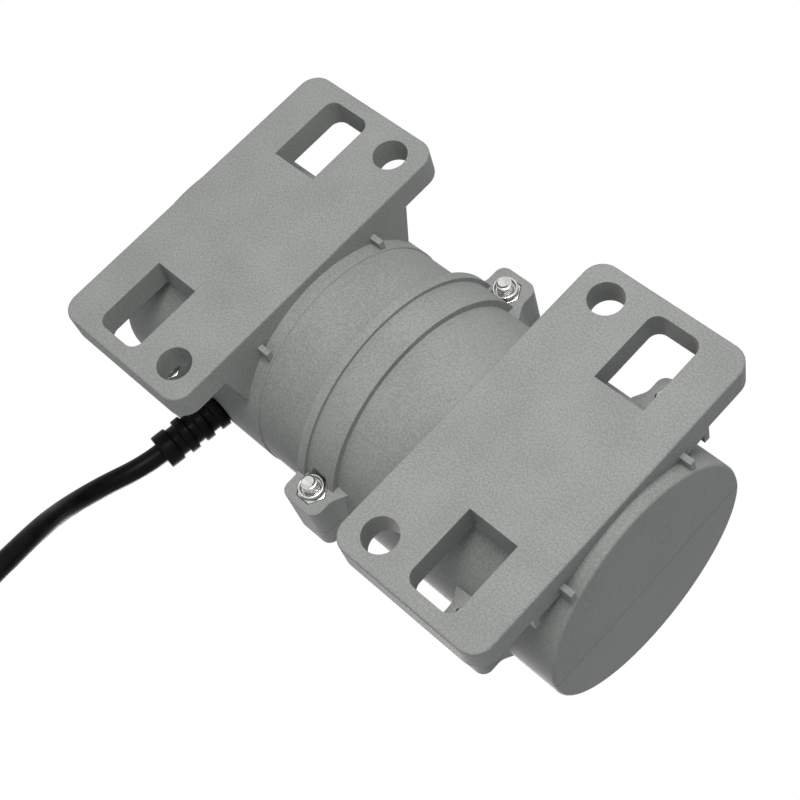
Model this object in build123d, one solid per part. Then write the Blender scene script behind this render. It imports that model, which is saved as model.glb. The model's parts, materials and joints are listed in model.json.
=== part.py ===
from build123d import *
import math
import os

# Direct-current vibration motor: a brushed two-pole motor with an eccentric weight on each
# end of its shaft, closed in a moulded clamshell that stands on two slotted feet.
# All sizes are in millimetres. The origin is the middle of the mounting plane under the
# feet, +Z is up, +X runs along the shaft and +Y points to the side where the cord leaves.

# Moulded body
AXIS_HEIGHT = 36.0
BODY_LENGTH = 152.0
BODY_RADIUS = 32.45
SHELL_WALL = 3.0
END_WALL = 3.0
END_DRAFT = 3.5
END_ROUNDING = 0.8
COLLAR_STEP = 0.35
COLLAR_X = -22.3
LIP_START_X = -5.2
LIP_WIDTH = 2.6
LIP_HEIGHT = 3.0
BAND_WIDTH = 8.8
BAND_HEIGHT = 1.85

# Feet
FOOT_GAP = 52.0
FOOT_WIDTH = 44.7
FOOT_LENGTH = 91.0
FOOT_THICKNESS = 8.0
FOOT_CORNER_RADIUS = 5.2
FOOT_EDGE_ROUNDING = 0.6
FOOT_HOLE_DIAMETER = 9.0
FOOT_HOLE_SPACING_X = 70.0
FOOT_HOLE_SPACING_Y = 75.0
WINDOW_INSET = 20.0
WINDOW_WIDTH = 14.0
WINDOW_LENGTH = 21.0
WINDOW_Y = 20.5
WINDOW_CORNER_RADIUS = 3.0

# Webs and ribs between the feet and the body
PAD_HEIGHT = 2.0
RIB_Y = 19.0
RIB_THICKNESS = 1.5
RIB_DEPTH = 1.2
RIB_OVERHANG = 3.2
WEB_THICKNESS = 3.0
WEB_HALF_SPAN = 31.8
WEB_TAPER = 2.6
WEB_HEIGHT = 12.2
OUTER_WEB_THICKNESS = 5.5
OUTER_WEB_HALF_SPAN = 29.2
OUTER_WEB_HEIGHT = 5.5
WEB_POCKET_DEPTH = 4.0
WEB_POCKET_WALL = 1.6

# Ears that carry the shell bolts
EAR_WIDTH = 12.1
EAR_REACH = 40.5
EAR_ROOT_Y = 20.0
EAR_CORNER_RADIUS = 2.7
EAR_FLARE = 2.0
EAR_FLARE_LENGTH = 3.5
EAR_FLARE_END_Y = 34.5
EAR_FLARE_RADIUS = 4.0
EAR_BOLT_Y = 35.0
MID_EAR_X = 1.5
OUTER_EAR_X = 53.8
LOWER_EAR_HEIGHT = 10.5

# Shell bolts, M4
BOLT_DIAMETER = 4.0
BOLT_LENGTH = 22.0
BOLT_STICK_OUT = 4.3
BOLT_HEAD_DIAMETER = 7.0
BOLT_HEAD_HEIGHT = 4.0
BOLT_SOCKET_FLATS = 3.0
BOLT_SOCKET_DEPTH = 2.0
BOLT_HOLE_CLEARANCE = 0.15
WASHER_DIAMETER = 9.0
WASHER_THICKNESS = 0.8
WASHER_CLEARANCE = 0.25
NUT_FLATS = 7.0
NUT_HEX_HEIGHT = 3.2
NUT_COLLAR_DIAMETER = 6.6
NUT_COLLAR_HEIGHT = 1.8
NUT_STICK_OUT = 1.7
NUT_POCKET_CLEARANCE = 0.35
THREAD_CLEARANCE = 0.05

# Seal cord in the parting face
SEAL_WIDTH = 1.2
SEAL_DEPTH = 1.0
SEAL_CLEARANCE = 0.05
SEAL_CORNER_RADIUS = 3.0

# Ribs inside the shells that hold the motor
SADDLE_X = 24.0
SADDLE_WIDTH = 3.0
BULKHEAD_WIDTH = 3.0
BULKHEAD_BORE = 12.0
SEAT_CLEARANCE = 0.1
RIB_BITE = 0.5

# Motor can, end bells and magnets
CAN_LENGTH = 60.0
CAN_RADIUS = 21.0
CAN_WALL = 1.6
BELL_FLANGE = 3.0
BELL_PILOT_LENGTH = 2.5
BELL_PILOT_WALL = 2.0
BELL_BOSS_LENGTH = 8.3
BELL_BOSS_WALL = 2.5
BELL_WEB = 0.5
BELL_BORE = 6.2
CAN_SCREW_DIAMETER = 2.5
CAN_SCREW_HEAD_DIAMETER = 4.4
CAN_SCREW_HEAD_HEIGHT = 0.8
CAN_SCREW_COUNT = 3
MAGNET_START_X = -12.0
MAGNET_LENGTH = 36.0
MAGNET_THICKNESS = 3.7
MAGNET_SWEEP = 130.0
CLIP_INSET = 4.0
CLIP_THICKNESS = 0.4
CLIP_LEG_SWEEP = 1.6
CLIP_LEG_LENGTH = 2.6

# Ball bearings, 8 x 22 x 7
BEARING_BORE = 8.0
BEARING_DIAMETER = 22.0
BEARING_WIDTH = 7.0
BEARING_RACE = 1.7
BALL_DIAMETER = 3.6
BALL_COUNT = 7
BALL_GAP = 0.3
WAVE_WASHER_THICKNESS = 0.8
WAVE_WASHER_INNER = 9.2
FIT = 0.02

# Rotor
SHAFT_LENGTH = 134.0
SHAFT_SHOULDER_RADIUS = 5.0
SHAFT_CHAMFER = 0.6
CORE_START_X = -8.0
CORE_LENGTH = 28.0
CORE_RADIUS = 15.0
SLOT_COUNT = 12
SLOT_RADIUS = 1.75
SLOT_PITCH_RADIUS = 11.2
SLOT_OPENING = 1.2
WIRE_BUNDLE_CLEARANCE = 0.15
END_TURN_LENGTH = 5.8
END_TURN_INNER = 6.0
END_TURN_OUTER = 13.6
END_TURN_CORNER = 1.6
COMMUTATOR_START_X = -24.0
COMMUTATOR_LENGTH = 9.2
COMMUTATOR_RADIUS = 8.0
COMMUTATOR_BAR_THICKNESS = 1.5
COMMUTATOR_SLIT = 0.5
RISER_LENGTH = 1.2
RISER_HEIGHT = 1.2
HUB_OVERHANG = 1.0

# Eccentric weights
WEIGHT_START_X = 50.0
WEIGHT_THICKNESS = 14.0
WEIGHT_RADIUS = 24.0
WEIGHT_HUB_WIDTH = 20.0
WEIGHT_HUB_HEIGHT = 12.5
WEIGHT_HUB_CORNER = 4.0
WEIGHT_SLIT = 1.6
WEIGHT_SCREW_HEIGHT = 8.0
WEIGHT_SCREW_LENGTH = 16.0
WEIGHT_SCREW_HEAD_RECESS = 3.0
RING_THICKNESS = 0.8
RING_OUTER = 6.4
RING_GROOVE_DEPTH = 0.5
RING_SLOT = 5.0

# Brush gear
CARD_THICKNESS = 1.5
CARD_BORE = 9.8
CARD_SCREW_DIAMETER = 1.8
CARD_SCREW_LENGTH = 3.0
CARD_SCREW_HEAD_DIAMETER = 2.8
CARD_SCREW_HEAD_HEIGHT = 1.0
CARD_SCREW_RADIUS = 17.8
CARD_SCREW_TURN = 20.0
BRUSH_X = -19.5
BRUSH_AXIAL = 6.0
BRUSH_WIDTH = 5.0
BRUSH_LENGTH = 6.0
BRUSH_AIR_GAP = 0.3
BRUSH_SIDE_CLEARANCE = 0.1
BRUSH_BOX_WALL = 0.6
BRUSH_BOX_BASE_RADIUS = 10.2
BRUSH_BOX_TOP_RADIUS = 18.9
BRUSH_BOX_LID = 0.8
BRUSH_TAB_WIDTH = 4.4
BRUSH_TAB_THICKNESS = 0.4
SPRING_WIRE = 0.45
SPRING_DIAMETER = 3.6
SPRING_TURNS = 3.5
SPRING_END_GAP = 0.05
LEAD_DIAMETER = 1.6
LEAD_BEND_RADIUS = 1.2
LEAD_Y = 5.5
LEAD_RADIUS = 15.0
LEAD_HOLE_CLEARANCE = 0.4
LEAD_RUN_X = -36.0
LEAD_SPREAD = 1.1
LEAD_BEND_Y = 14.6
LEAD_BEND_HEIGHT = 10.5

# Strain relief and cord
GLAND_X = -40.3
GLAND_SWING = 7.8
GLAND_SEAT_DEPTH = 0.1
GLAND_NECK_RADIUS = 4.3
GLAND_NECK_LENGTH = 4.85
GLAND_INNER_FLANGE = 1.4
GLAND_COLLAR_RADIUS = 5.2
GLAND_COLLAR = 2.7
GLAND_RIB_COUNT = 2
GLAND_RIB_WIDTH = 2.55
GLAND_RIB_GAP = 2.3
GLAND_RIB_RADIUS = 5.1
GLAND_TIP_LENGTH = 4.1
GLAND_TIP_RADIUS = 4.9
GLAND_CORE_RADIUS = 4.2
GLAND_BORE_CLEARANCE = 0.25
GLAND_ROOM_START = 3.9
GLAND_ROOM_LENGTH = 9.0
CORD_DIAMETER = 5.5
CORD_TAIL_INSIDE = 9.4
CRIMP_LENGTH = 1.6
CRIMP_WALL = 0.9
CRIMP_CLEARANCE = 0.1
CORD_ROUTE = [
    (-40.6, 34.8, 36.1),
    (-42.2, 46.2, 35.95),
    (-43.9, 57.0, 36.0),
    (-45.8, 68.15, 32.05),
    (-43.6, 78.5, 24.5),
    (-37.7, 86.0, 14.2),
    (-32.7, 96.3, 6.7),
    (-30.0, 108.5, 2.75),
    (-30.0, 120.5, 2.75),
]
CORD_ARC_SHARE = 0.45
COIL_CENTRE = (-60.0, 136.0)
COIL_MEAN_RADIUS = 30.0
COIL_SECTION_WIDTH = 12.0
COIL_SECTION_HEIGHT = 16.5
COIL_LIFT = 1.0
COIL_ENTRY_CLEARANCE = 0.6
TIE_WIDTH = 4.0
TIE_THICKNESS = 0.8
TIE_CLEARANCE = 0.15
TIE_ANGLE = 215.0
TAIL_GAP = 0.3
TAIL_START_ANGLE = 40.0
TAIL_SWEEP = 48.0
CORE_WIRE_DIAMETER = 2.0
CORE_WIRE_LENGTH = 20.0
CORE_TINNED_DIAMETER = 1.2
CORE_TINNED_LENGTH = 6.0
CORE_WIRE_SPREAD = 8.0

# Sizes that follow from the ones above
BODY_HALF = BODY_LENGTH / 2
INNER_RADIUS = BODY_RADIUS - SHELL_WALL
INNER_HALF = BODY_HALF - END_WALL
FOOT_INNER_X = FOOT_GAP / 2
FOOT_OUTER_X = FOOT_INNER_X + FOOT_WIDTH
FOOT_CENTRE_X = FOOT_INNER_X + FOOT_WIDTH / 2
WINDOW_X = FOOT_INNER_X + WINDOW_INSET + WINDOW_WIDTH / 2
LOWER_EAR_FACE = AXIS_HEIGHT - LOWER_EAR_HEIGHT
BOLT_TIP = LOWER_EAR_FACE - BOLT_STICK_OUT
BOLT_HEAD_SEAT = BOLT_TIP + BOLT_LENGTH
UPPER_EAR_FACE = BOLT_HEAD_SEAT - WASHER_THICKNESS
NUT_HEIGHT = NUT_HEX_HEIGHT + NUT_COLLAR_HEIGHT
NUT_SEAT = LOWER_EAR_FACE - NUT_STICK_OUT + NUT_HEIGHT
CAN_HALF = CAN_LENGTH / 2
CAN_BORE = CAN_RADIUS - CAN_WALL
BEARING_RADIUS = BEARING_DIAMETER / 2
BEARING_SEAT_X = CAN_HALF + BELL_FLANGE + BELL_WEB
BOSS_RADIUS = BEARING_RADIUS + BELL_BOSS_WALL
BOSS_END_X = CAN_HALF + BELL_FLANGE + BELL_BOSS_LENGTH
BULKHEAD_X = BOSS_END_X + SEAT_CLEARANCE
SHAFT_RADIUS = BEARING_BORE / 2
BALL_PITCH_RADIUS = (BEARING_BORE + BEARING_DIAMETER) / 4
CORE_END_X = CORE_START_X + CORE_LENGTH
COMMUTATOR_END_X = COMMUTATOR_START_X + COMMUTATOR_LENGTH
CARD_X = -(CAN_HALF - BELL_PILOT_LENGTH)
BRUSH_TIP_RADIUS = COMMUTATOR_RADIUS + BRUSH_AIR_GAP
BRUSH_TOP_RADIUS = BRUSH_TIP_RADIUS + BRUSH_LENGTH
SPRING_TOP_RADIUS = BRUSH_BOX_TOP_RADIUS - BRUSH_BOX_LID
CORD_RADIUS = CORD_DIAMETER / 2
GLAND_FLANGE_RADIUS = GLAND_NECK_RADIUS + GLAND_INNER_FLANGE
GLAND_RIB_PITCH = GLAND_RIB_WIDTH + GLAND_RIB_GAP
GLAND_TIP_START = GLAND_COLLAR + GLAND_RIB_COUNT * GLAND_RIB_PITCH + GLAND_RIB_GAP
GLAND_LENGTH = GLAND_TIP_START + GLAND_TIP_LENGTH
GLAND_ROOT_Y = BODY_RADIUS + COLLAR_STEP - GLAND_SEAT_DEPTH
EAR_PLACES = [(x, side) for x in (-OUTER_EAR_X, MID_EAR_X, OUTER_EAR_X) for side in (-1, 1)]


def on_axis(x=0.0, y=0.0, z=0.0):
    """Place given from the point of the shaft line at the origin."""
    return Pos(x, y, AXIS_HEIGHT + z)


def round_bar(radius, start, end):
    """Solid cylinder on the shaft line between two x positions, in either order."""
    return on_axis((start + end) / 2) * Rot(0, 90, 0) * Cylinder(radius, abs(end - start))


def ring(outer, inner, start, end):
    """Plain ring on the shaft line."""
    low, high = sorted((start, end))
    return round_bar(outer, low, high) - round_bar(inner, low - 1, high + 1)


def turned(*profile):
    """Body of revolution about the shaft line from its corners as (x, radius)."""
    outline = Polyline(*[(x, 0, radius) for x, radius in profile], close=True)
    return on_axis() * revolve(make_face(outline), Axis.X)


def block(x_range, y_range, z_range):
    """Rectangular block between two limits on each axis."""
    limits = (x_range, y_range, z_range)
    sizes = [high - low for low, high in limits]
    middle = [(low + high) / 2 for low, high in limits]
    return Pos(*middle) * Box(*sizes)


def arc_block(inner, outer, middle_angle, sweep, start, end):
    """Piece of a tube wall, with angles measured from +Y towards +Z."""
    first = middle_angle - sweep / 2
    outer_arc = CenterArc((0, 0), outer, first, sweep)
    inner_arc = CenterArc((0, 0), inner, first, sweep)
    sides = [Line(outer_arc @ 0, inner_arc @ 0), Line(outer_arc @ 1, inner_arc @ 1)]
    face = make_face([outer_arc, inner_arc, *sides])
    return on_axis(start) * extrude(Plane.YZ * face, end - start)


def gland_frame():
    """Plane at the root of the strain relief in the parting face, facing along the cord."""
    return Plane(Pos(GLAND_X, GLAND_ROOT_Y, AXIS_HEIGHT) * Rot(0, 0, GLAND_SWING) * Rot(-90, 0, 0))


def gland_point(distance):
    """Point on the line of the strain relief, counted outwards from its root."""
    return gland_frame().from_local_coords(Vector(0, 0, distance))


def parting_half(lower):
    """Space on one side of the parting plane."""
    reach = BODY_LENGTH
    box = Box(2 * reach, 2 * reach, reach)
    return on_axis(z=-reach / 2 if lower else reach / 2) * box


def draft_cutter(half_length, side):
    """Wedge beyond a drafted end face, which leans inwards below the parting plane."""
    reach = BODY_LENGTH
    wedge = Pos(side * reach / 2, 0, 0) * Box(reach, reach, reach)
    return on_axis(side * half_length) * Rot(0, side * END_DRAFT, 0) * wedge


def shell_outside(lower):
    """Outer form of one half of the body, with its collar, lip and band."""
    lip_end = LIP_START_X + LIP_WIDTH
    band_end = lip_end + BAND_WIDTH
    lip_radius = BODY_RADIUS + LIP_HEIGHT
    band_radius = BODY_RADIUS + BAND_HEIGHT
    collar_radius = BODY_RADIUS + COLLAR_STEP
    form = round_bar(BODY_RADIUS, -BODY_HALF, BODY_HALF)
    if lower:
        form -= [draft_cutter(BODY_HALF, side) for side in (-1, 1)]
    form &= parting_half(lower)
    rims = form.edges().filter_by(lambda edge: edge.geom_type != GeomType.LINE)
    rims = rims.filter_by(lambda edge: abs(edge.center().X) > BODY_HALF - END_WALL)
    form = fillet(rims, END_ROUNDING)
    collar_start = -(BODY_HALF - END_WALL)
    rings = [
        ring(collar_radius, INNER_RADIUS, collar_start, COLLAR_X),
        ring(lip_radius, INNER_RADIUS, LIP_START_X, lip_end),
        ring(band_radius, INNER_RADIUS, lip_end, band_end),
    ]
    return form + [part & parting_half(lower) for part in rings]


def shell_cavity(lower):
    """Hollow of one half of the body."""
    hollow = round_bar(INNER_RADIUS, -INNER_HALF, INNER_HALF)
    if lower:
        hollow -= [draft_cutter(INNER_HALF, side) for side in (-1, 1)]
    return hollow & parting_half(lower)


def motor_seats(lower):
    """Saddles under the can and bulkheads against the ends of the bearing bosses."""
    outer = INNER_RADIUS + RIB_BITE
    seats = []
    for side in (-1, 1):
        saddle = (side * SADDLE_X, side * (SADDLE_X + SADDLE_WIDTH))
        bulkhead = (side * BULKHEAD_X, side * (BULKHEAD_X + BULKHEAD_WIDTH))
        seats.append(ring(outer, CAN_RADIUS + SEAT_CLEARANCE, *saddle) & parting_half(lower))
        seats.append((ring(outer, BULKHEAD_BORE, *bulkhead) & parting_half(lower)) - gland_room())
    return seats


def gland_room():
    """Space for the inner flange and the end of the cord in the bulkhead beside them."""
    radius = GLAND_FLANGE_RADIUS + LEAD_HOLE_CLEARANCE
    middle = -GLAND_ROOM_START - GLAND_ROOM_LENGTH / 2
    return gland_frame().location * Pos(0, 0, middle) * Cylinder(radius, GLAND_ROOM_LENGTH)


def ear(x, side, bottom, top):
    """Bolt ear that stands out from the body and widens at its root, from inside the wall."""
    half = EAR_WIDTH / 2
    root = half + EAR_FLARE
    flare_y = EAR_FLARE_END_Y - EAR_FLARE_LENGTH
    right_side = [(root, EAR_ROOT_Y), (root, flare_y), (half, EAR_FLARE_END_Y), (half, EAR_REACH)]
    left_side = [(-across, out) for across, out in reversed(right_side)]
    plan = make_face(Polyline(*right_side, *left_side, close=True))
    plan = fillet(plan.vertices().group_by(Axis.Y)[-1], EAR_CORNER_RADIUS)
    necks = plan.vertices().filter_by(lambda vertex: abs(vertex.Y - EAR_FLARE_END_Y) < SEAT_CLEARANCE)
    plan = fillet(necks, EAR_FLARE_RADIUS)
    turn = Rot(0, 0, 0 if side > 0 else 180)
    return Pos(x, 0, bottom) * turn * extrude(plan, top - bottom)


def bolt_hole(x, side):
    """Clearance hole of one shell bolt, right through both ears."""
    radius = BOLT_DIAMETER / 2 + BOLT_HOLE_CLEARANCE
    height = BOLT_HEAD_SEAT - BOLT_TIP
    return Pos(x, side * EAR_BOLT_Y, BOLT_TIP + height / 2) * Cylinder(radius, height)


def nut_pocket(x, side):
    """Hexagonal pocket of one nut, open towards the feet."""
    across = NUT_FLATS + NUT_POCKET_CLEARANCE
    depth = NUT_HEIGHT + NUT_COLLAR_HEIGHT
    plan = RegularPolygon(across / 2, 6, major_radius=False)
    return Pos(x, side * EAR_BOLT_Y, NUT_SEAT - depth) * extrude(plan, depth)


def seal_path(width):
    """Closed strip along the middle of the shell wall, as a sketch."""
    half_x = BODY_HALF - END_WALL / 2
    half_y = BODY_RADIUS - SHELL_WALL / 2
    outer = RectangleRounded(2 * half_x + width, 2 * half_y + width, SEAL_CORNER_RADIUS)
    inner = RectangleRounded(2 * half_x - width, 2 * half_y - width, SEAL_CORNER_RADIUS - width)
    return outer - inner


def seal_strip(width, depth):
    """Strip of rectangular section just below the parting plane."""
    return on_axis(z=-depth) * extrude(seal_path(width), depth)


def foot(side):
    """Plain plate of one foot."""
    plan = RectangleRounded(FOOT_WIDTH, FOOT_LENGTH, FOOT_CORNER_RADIUS)
    plate = extrude(plan, FOOT_THICKNESS)
    plate = fillet(plate.faces().sort_by(Axis.Z)[0].edges(), FOOT_EDGE_ROUNDING)
    return Pos(side * FOOT_CENTRE_X, 0, 0) * plate


def foot_window(side, end):
    """Tool window under one ear: rounded at its outer end and sharp at its inner end."""
    height = FOOT_THICKNESS + 2
    middle_y = WINDOW_Y + WINDOW_LENGTH / 2
    hole = Pos(0, 0, height / 2 - 1) * Box(WINDOW_WIDTH, WINDOW_LENGTH, height)
    corners = hole.edges().filter_by(Axis.Z).sort_by(Axis.Y)[-2:]
    hole = Pos(0, middle_y, 0) * fillet(corners, WINDOW_CORNER_RADIUS)
    if end < 0:
        hole = mirror(hole, about=Plane.XZ)
    return Pos(side * WINDOW_X, 0, 0) * hole


def foot_holes():
    """The four mounting holes."""
    hole = Cylinder(FOOT_HOLE_DIAMETER / 2, 2 * FOOT_THICKNESS + 2)
    places = GridLocations(FOOT_HOLE_SPACING_X, FOOT_HOLE_SPACING_Y, 2, 2)
    return [place * hole for place in places]


def foot_webs(side):
    """Inner web, pad and ribs that tie one foot to the body."""
    top = FOOT_THICKNESS + WEB_HEIGHT
    corners = [
        (-WEB_HALF_SPAN, FOOT_THICKNESS),
        (WEB_HALF_SPAN, FOOT_THICKNESS),
        (WEB_HALF_SPAN - WEB_TAPER, top),
        (-WEB_HALF_SPAN + WEB_TAPER, top),
    ]
    web = extrude(Plane.YZ * make_face(Polyline(*corners, close=True)), side * WEB_THICKNESS)
    inner_web = Pos(side * FOOT_INNER_X, 0, 0) * web
    rib_x = sorted((side * (FOOT_INNER_X - RIB_OVERHANG), side * (FOOT_OUTER_X + RIB_OVERHANG)))
    rib_z = (FOOT_THICKNESS - RIB_DEPTH, FOOT_THICKNESS + PAD_HEIGHT + RIB_THICKNESS)
    pad_x = sorted((side * FOOT_INNER_X, side * FOOT_OUTER_X))
    pad_z = (FOOT_THICKNESS - 1, FOOT_THICKNESS + PAD_HEIGHT)
    parts = [inner_web, block(pad_x, (-RIB_Y, RIB_Y), pad_z)]
    for end in (-1, 1):
        rib_y = sorted((end * RIB_Y, end * (RIB_Y + RIB_THICKNESS)))
        parts.append(block(rib_x, rib_y, rib_z))
    return parts


def outer_webs(side):
    """Pocketed webs between the outer edge of one foot and the body, one on each side of the ribs."""
    web_x = sorted((side * FOOT_OUTER_X, side * (FOOT_OUTER_X - OUTER_WEB_THICKNESS)))
    web_top = FOOT_THICKNESS + OUTER_WEB_HEIGHT
    pocket_x = sorted((side * (FOOT_OUTER_X + 1), side * (FOOT_OUTER_X - WEB_POCKET_DEPTH)))
    pocket_z = (FOOT_THICKNESS + PAD_HEIGHT, web_top + 1)
    start = RIB_Y + RIB_THICKNESS
    webs = []
    for end in (-1, 1):
        web_y = sorted((end * start, end * OUTER_WEB_HALF_SPAN))
        pocket_y = sorted((end * start, end * (OUTER_WEB_HALF_SPAN - WEB_POCKET_WALL)))
        web = block(web_x, web_y, (FOOT_THICKNESS, web_top))
        webs.append(web - block(pocket_x, pocket_y, pocket_z) - shell_outside(lower=True))
    return Compound([solid for web in webs for solid in web.solids()])


def gland_hole():
    """Hole of the strain relief through the wall, with the flat seat of its collar."""
    length = GLAND_NECK_LENGTH
    hole = Pos(0, 0, -length / 2) * Cylinder(GLAND_NECK_RADIUS + SEAT_CLEARANCE, length)
    hole += Pos(0, 0, GLAND_COLLAR / 2) * Cylinder(GLAND_COLLAR_RADIUS + SEAT_CLEARANCE, GLAND_COLLAR)
    return gland_frame().location * hole


def foot_plate(side):
    """Foot with its windows and bolt holes, which the body and its webs stand on."""
    plate = foot(side) - shell_outside(lower=True) - foot_webs(side)
    plate -= [foot_window(side, end) for end in (-1, 1)]
    return plate - foot_holes()


def lower_shell():
    """Half with the webs of the feet, the nut pockets and the lower side of the cord outlet."""
    shell = shell_outside(lower=True)
    shell += [web for side in (-1, 1) for web in foot_webs(side)]
    shell += [ear(x, side, LOWER_EAR_FACE, AXIS_HEIGHT) for x, side in EAR_PLACES]
    shell -= shell_cavity(lower=True)
    shell += motor_seats(lower=True)
    shell -= [foot_window(side, end) for side in (-1, 1) for end in (-1, 1)]
    shell -= foot_holes()
    shell -= [bolt_hole(x, side) for x, side in EAR_PLACES]
    shell -= [nut_pocket(x, side) for x, side in EAR_PLACES]
    shell -= gland_hole()
    return shell - seal_strip(SEAL_WIDTH + 2 * SEAL_CLEARANCE, SEAL_DEPTH + SEAL_CLEARANCE)


def upper_shell():
    """Plain half that closes the body, with the seats of the bolt heads and the outlet's upper side."""
    shell = shell_outside(lower=False)
    shell += [ear(x, side, AXIS_HEIGHT, UPPER_EAR_FACE) for x, side in EAR_PLACES]
    shell -= shell_cavity(lower=False)
    shell += motor_seats(lower=False)
    shell -= [bolt_hole(x, side) for x, side in EAR_PLACES]
    shell -= gland_hole()
    return shell - [washer_space(x, side) for x, side in EAR_PLACES]


def washer_space(x, side):
    """Room for the washer and the tool where the band and the lip come close to a bolt."""
    radius = WASHER_DIAMETER / 2 + WASHER_CLEARANCE
    height = BODY_RADIUS
    return Pos(x, side * EAR_BOLT_Y, UPPER_EAR_FACE + height / 2) * Cylinder(radius, height)


def shell_bolt():
    """Socket-head bolt with its head seat at z = 0 and its shank downwards."""
    head = Pos(0, 0, BOLT_HEAD_HEIGHT / 2) * Cylinder(BOLT_HEAD_DIAMETER / 2, BOLT_HEAD_HEIGHT)
    socket = extrude(RegularPolygon(BOLT_SOCKET_FLATS / 2, 6, major_radius=False), BOLT_SOCKET_DEPTH)
    head -= Pos(0, 0, BOLT_HEAD_HEIGHT - BOLT_SOCKET_DEPTH) * socket
    shank = Pos(0, 0, -BOLT_LENGTH / 2) * Cylinder(BOLT_DIAMETER / 2, BOLT_LENGTH)
    return head + chamfer(shank.edges().sort_by(Axis.Z)[0], SHAFT_CHAMFER)


def shell_nut():
    """Nut with a locking collar, its seat at z = 0 and its collar downwards."""
    flats = extrude(RegularPolygon(NUT_FLATS / 2, 6, major_radius=False), -NUT_HEX_HEIGHT)
    collar = Pos(0, 0, -NUT_HEIGHT / 2) * Cylinder(NUT_COLLAR_DIAMETER / 2, NUT_HEIGHT)
    collar = fillet(collar.edges().sort_by(Axis.Z)[0], NUT_COLLAR_HEIGHT / 3)
    thread = Cylinder(BOLT_DIAMETER / 2 + THREAD_CLEARANCE, 3 * NUT_HEIGHT)
    return flats + collar - thread


def shell_washer():
    """Plain washer with its lower face at z = 0."""
    washer = Cylinder(WASHER_DIAMETER / 2, WASHER_THICKNESS)
    washer -= Cylinder(BOLT_DIAMETER / 2 + BOLT_HOLE_CLEARANCE, 2 * WASHER_THICKNESS)
    return Pos(0, 0, WASHER_THICKNESS / 2) * washer


def at_ears(fastener, z, mid):
    """Copies of a fastener at the mid ears or at the outer ears."""
    places = [(x, side) for x, side in EAR_PLACES if (x == MID_EAR_X) == mid]
    return Compound([Pos(x, side * EAR_BOLT_Y, z) * fastener for x, side in places])


def motor_can():
    """Steel tube with the countersunk holes of its end screws."""
    can = ring(CAN_RADIUS, CAN_BORE, -CAN_HALF, CAN_HALF)
    return can - [place * can_screw(FIT) for place in can_screw_places()]


def can_screw_places():
    """Places of the radial screws that hold the can on the pilots of the bells."""
    places = []
    for side in (-1, 1):
        x = side * (CAN_HALF - BELL_PILOT_LENGTH / 2)
        for index in range(CAN_SCREW_COUNT):
            turn = 90 + 180 / CAN_SCREW_COUNT + index * 360 / CAN_SCREW_COUNT
            places.append(on_axis(x) * Rot(turn, 0, 0))
    return places


def can_screw(clearance=0.0):
    """Radial screw along local z, its head flush with the outside of the can."""
    head_base = CAN_RADIUS - CAN_SCREW_HEAD_HEIGHT
    shank_length = CAN_WALL + BELL_PILOT_WALL - CAN_SCREW_HEAD_HEIGHT
    head_radius = CAN_SCREW_HEAD_DIAMETER / 2 + clearance
    shank_radius = CAN_SCREW_DIAMETER / 2 + clearance
    head_height = CAN_SCREW_HEAD_HEIGHT - FIT + clearance
    head = Pos(0, 0, head_base + head_height / 2) * Cylinder(head_radius, head_height)
    shank = Pos(0, 0, head_base - shank_length / 2) * Cylinder(shank_radius, shank_length)
    return head + shank


def magnet(side):
    """Ferrite arc magnet on one side of the rotor."""
    middle = 0 if side > 0 else 180
    outer = CAN_BORE - SEAT_CLEARANCE
    end = MAGNET_START_X + MAGNET_LENGTH
    return arc_block(outer - MAGNET_THICKNESS, outer, middle, MAGNET_SWEEP, MAGNET_START_X, end)


def magnet_clips():
    """Spring clips that press the two magnets apart."""
    outer = CAN_BORE - SEAT_CLEARANCE
    gap = 180 - MAGNET_SWEEP - 2 * CLIP_LEG_SWEEP
    start = MAGNET_START_X + CLIP_INSET
    end = start + MAGNET_LENGTH - 2 * CLIP_INSET
    clips = []
    for middle in (90, 270):
        clip = arc_block(outer - CLIP_THICKNESS, outer, middle, gap, start, end)
        for side in (-1, 1):
            angle = middle + side * (gap / 2 - CLIP_LEG_SWEEP / 2)
            clip += arc_block(outer - CLIP_LEG_LENGTH, outer, angle, CLIP_LEG_SWEEP, start, end)
        clips.append(clip)
    return Compound(clips)


def end_bell(side):
    """Flange, pilot and bearing boss that close one end of the can."""
    pilot_radius = CAN_BORE - SEAT_CLEARANCE
    seat_radius = BEARING_RADIUS + FIT
    profile = [
        (CAN_HALF - BELL_PILOT_LENGTH, pilot_radius - BELL_PILOT_WALL),
        (CAN_HALF - BELL_PILOT_LENGTH, pilot_radius),
        (CAN_HALF, pilot_radius),
        (CAN_HALF, CAN_RADIUS),
        (CAN_HALF + BELL_FLANGE, CAN_RADIUS),
        (CAN_HALF + BELL_FLANGE, BOSS_RADIUS),
        (BOSS_END_X, BOSS_RADIUS),
        (BOSS_END_X, seat_radius),
        (BEARING_SEAT_X, seat_radius),
        (BEARING_SEAT_X, BELL_BORE),
        (CAN_HALF, BELL_BORE),
        (CAN_HALF, pilot_radius - BELL_PILOT_WALL),
    ]
    bell = turned(*[(side * x, radius) for x, radius in profile])
    return bell - [place * can_screw(FIT) for place in can_screw_places()]


def brush_end_bell():
    """Bell on the commutator side, with the holes of the leads and the card screws."""
    radius = LEAD_DIAMETER / 2 + LEAD_HOLE_CLEARANCE
    leads = [on_axis(-CAN_HALF, LEAD_Y, side * LEAD_RADIUS) for side in (-1, 1)]
    holes = [place * Rot(0, 90, 0) * Cylinder(radius, 4 * BELL_FLANGE) for place in leads]
    return end_bell(-1) - holes - [place * card_screw(FIT) for place in card_screw_places()]


def bearing_x(side):
    """Inner end of a bearing: the one on the brush side sits on the wave washer."""
    washer = WAVE_WASHER_THICKNESS if side < 0 else 0
    return BEARING_SEAT_X + washer


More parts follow.
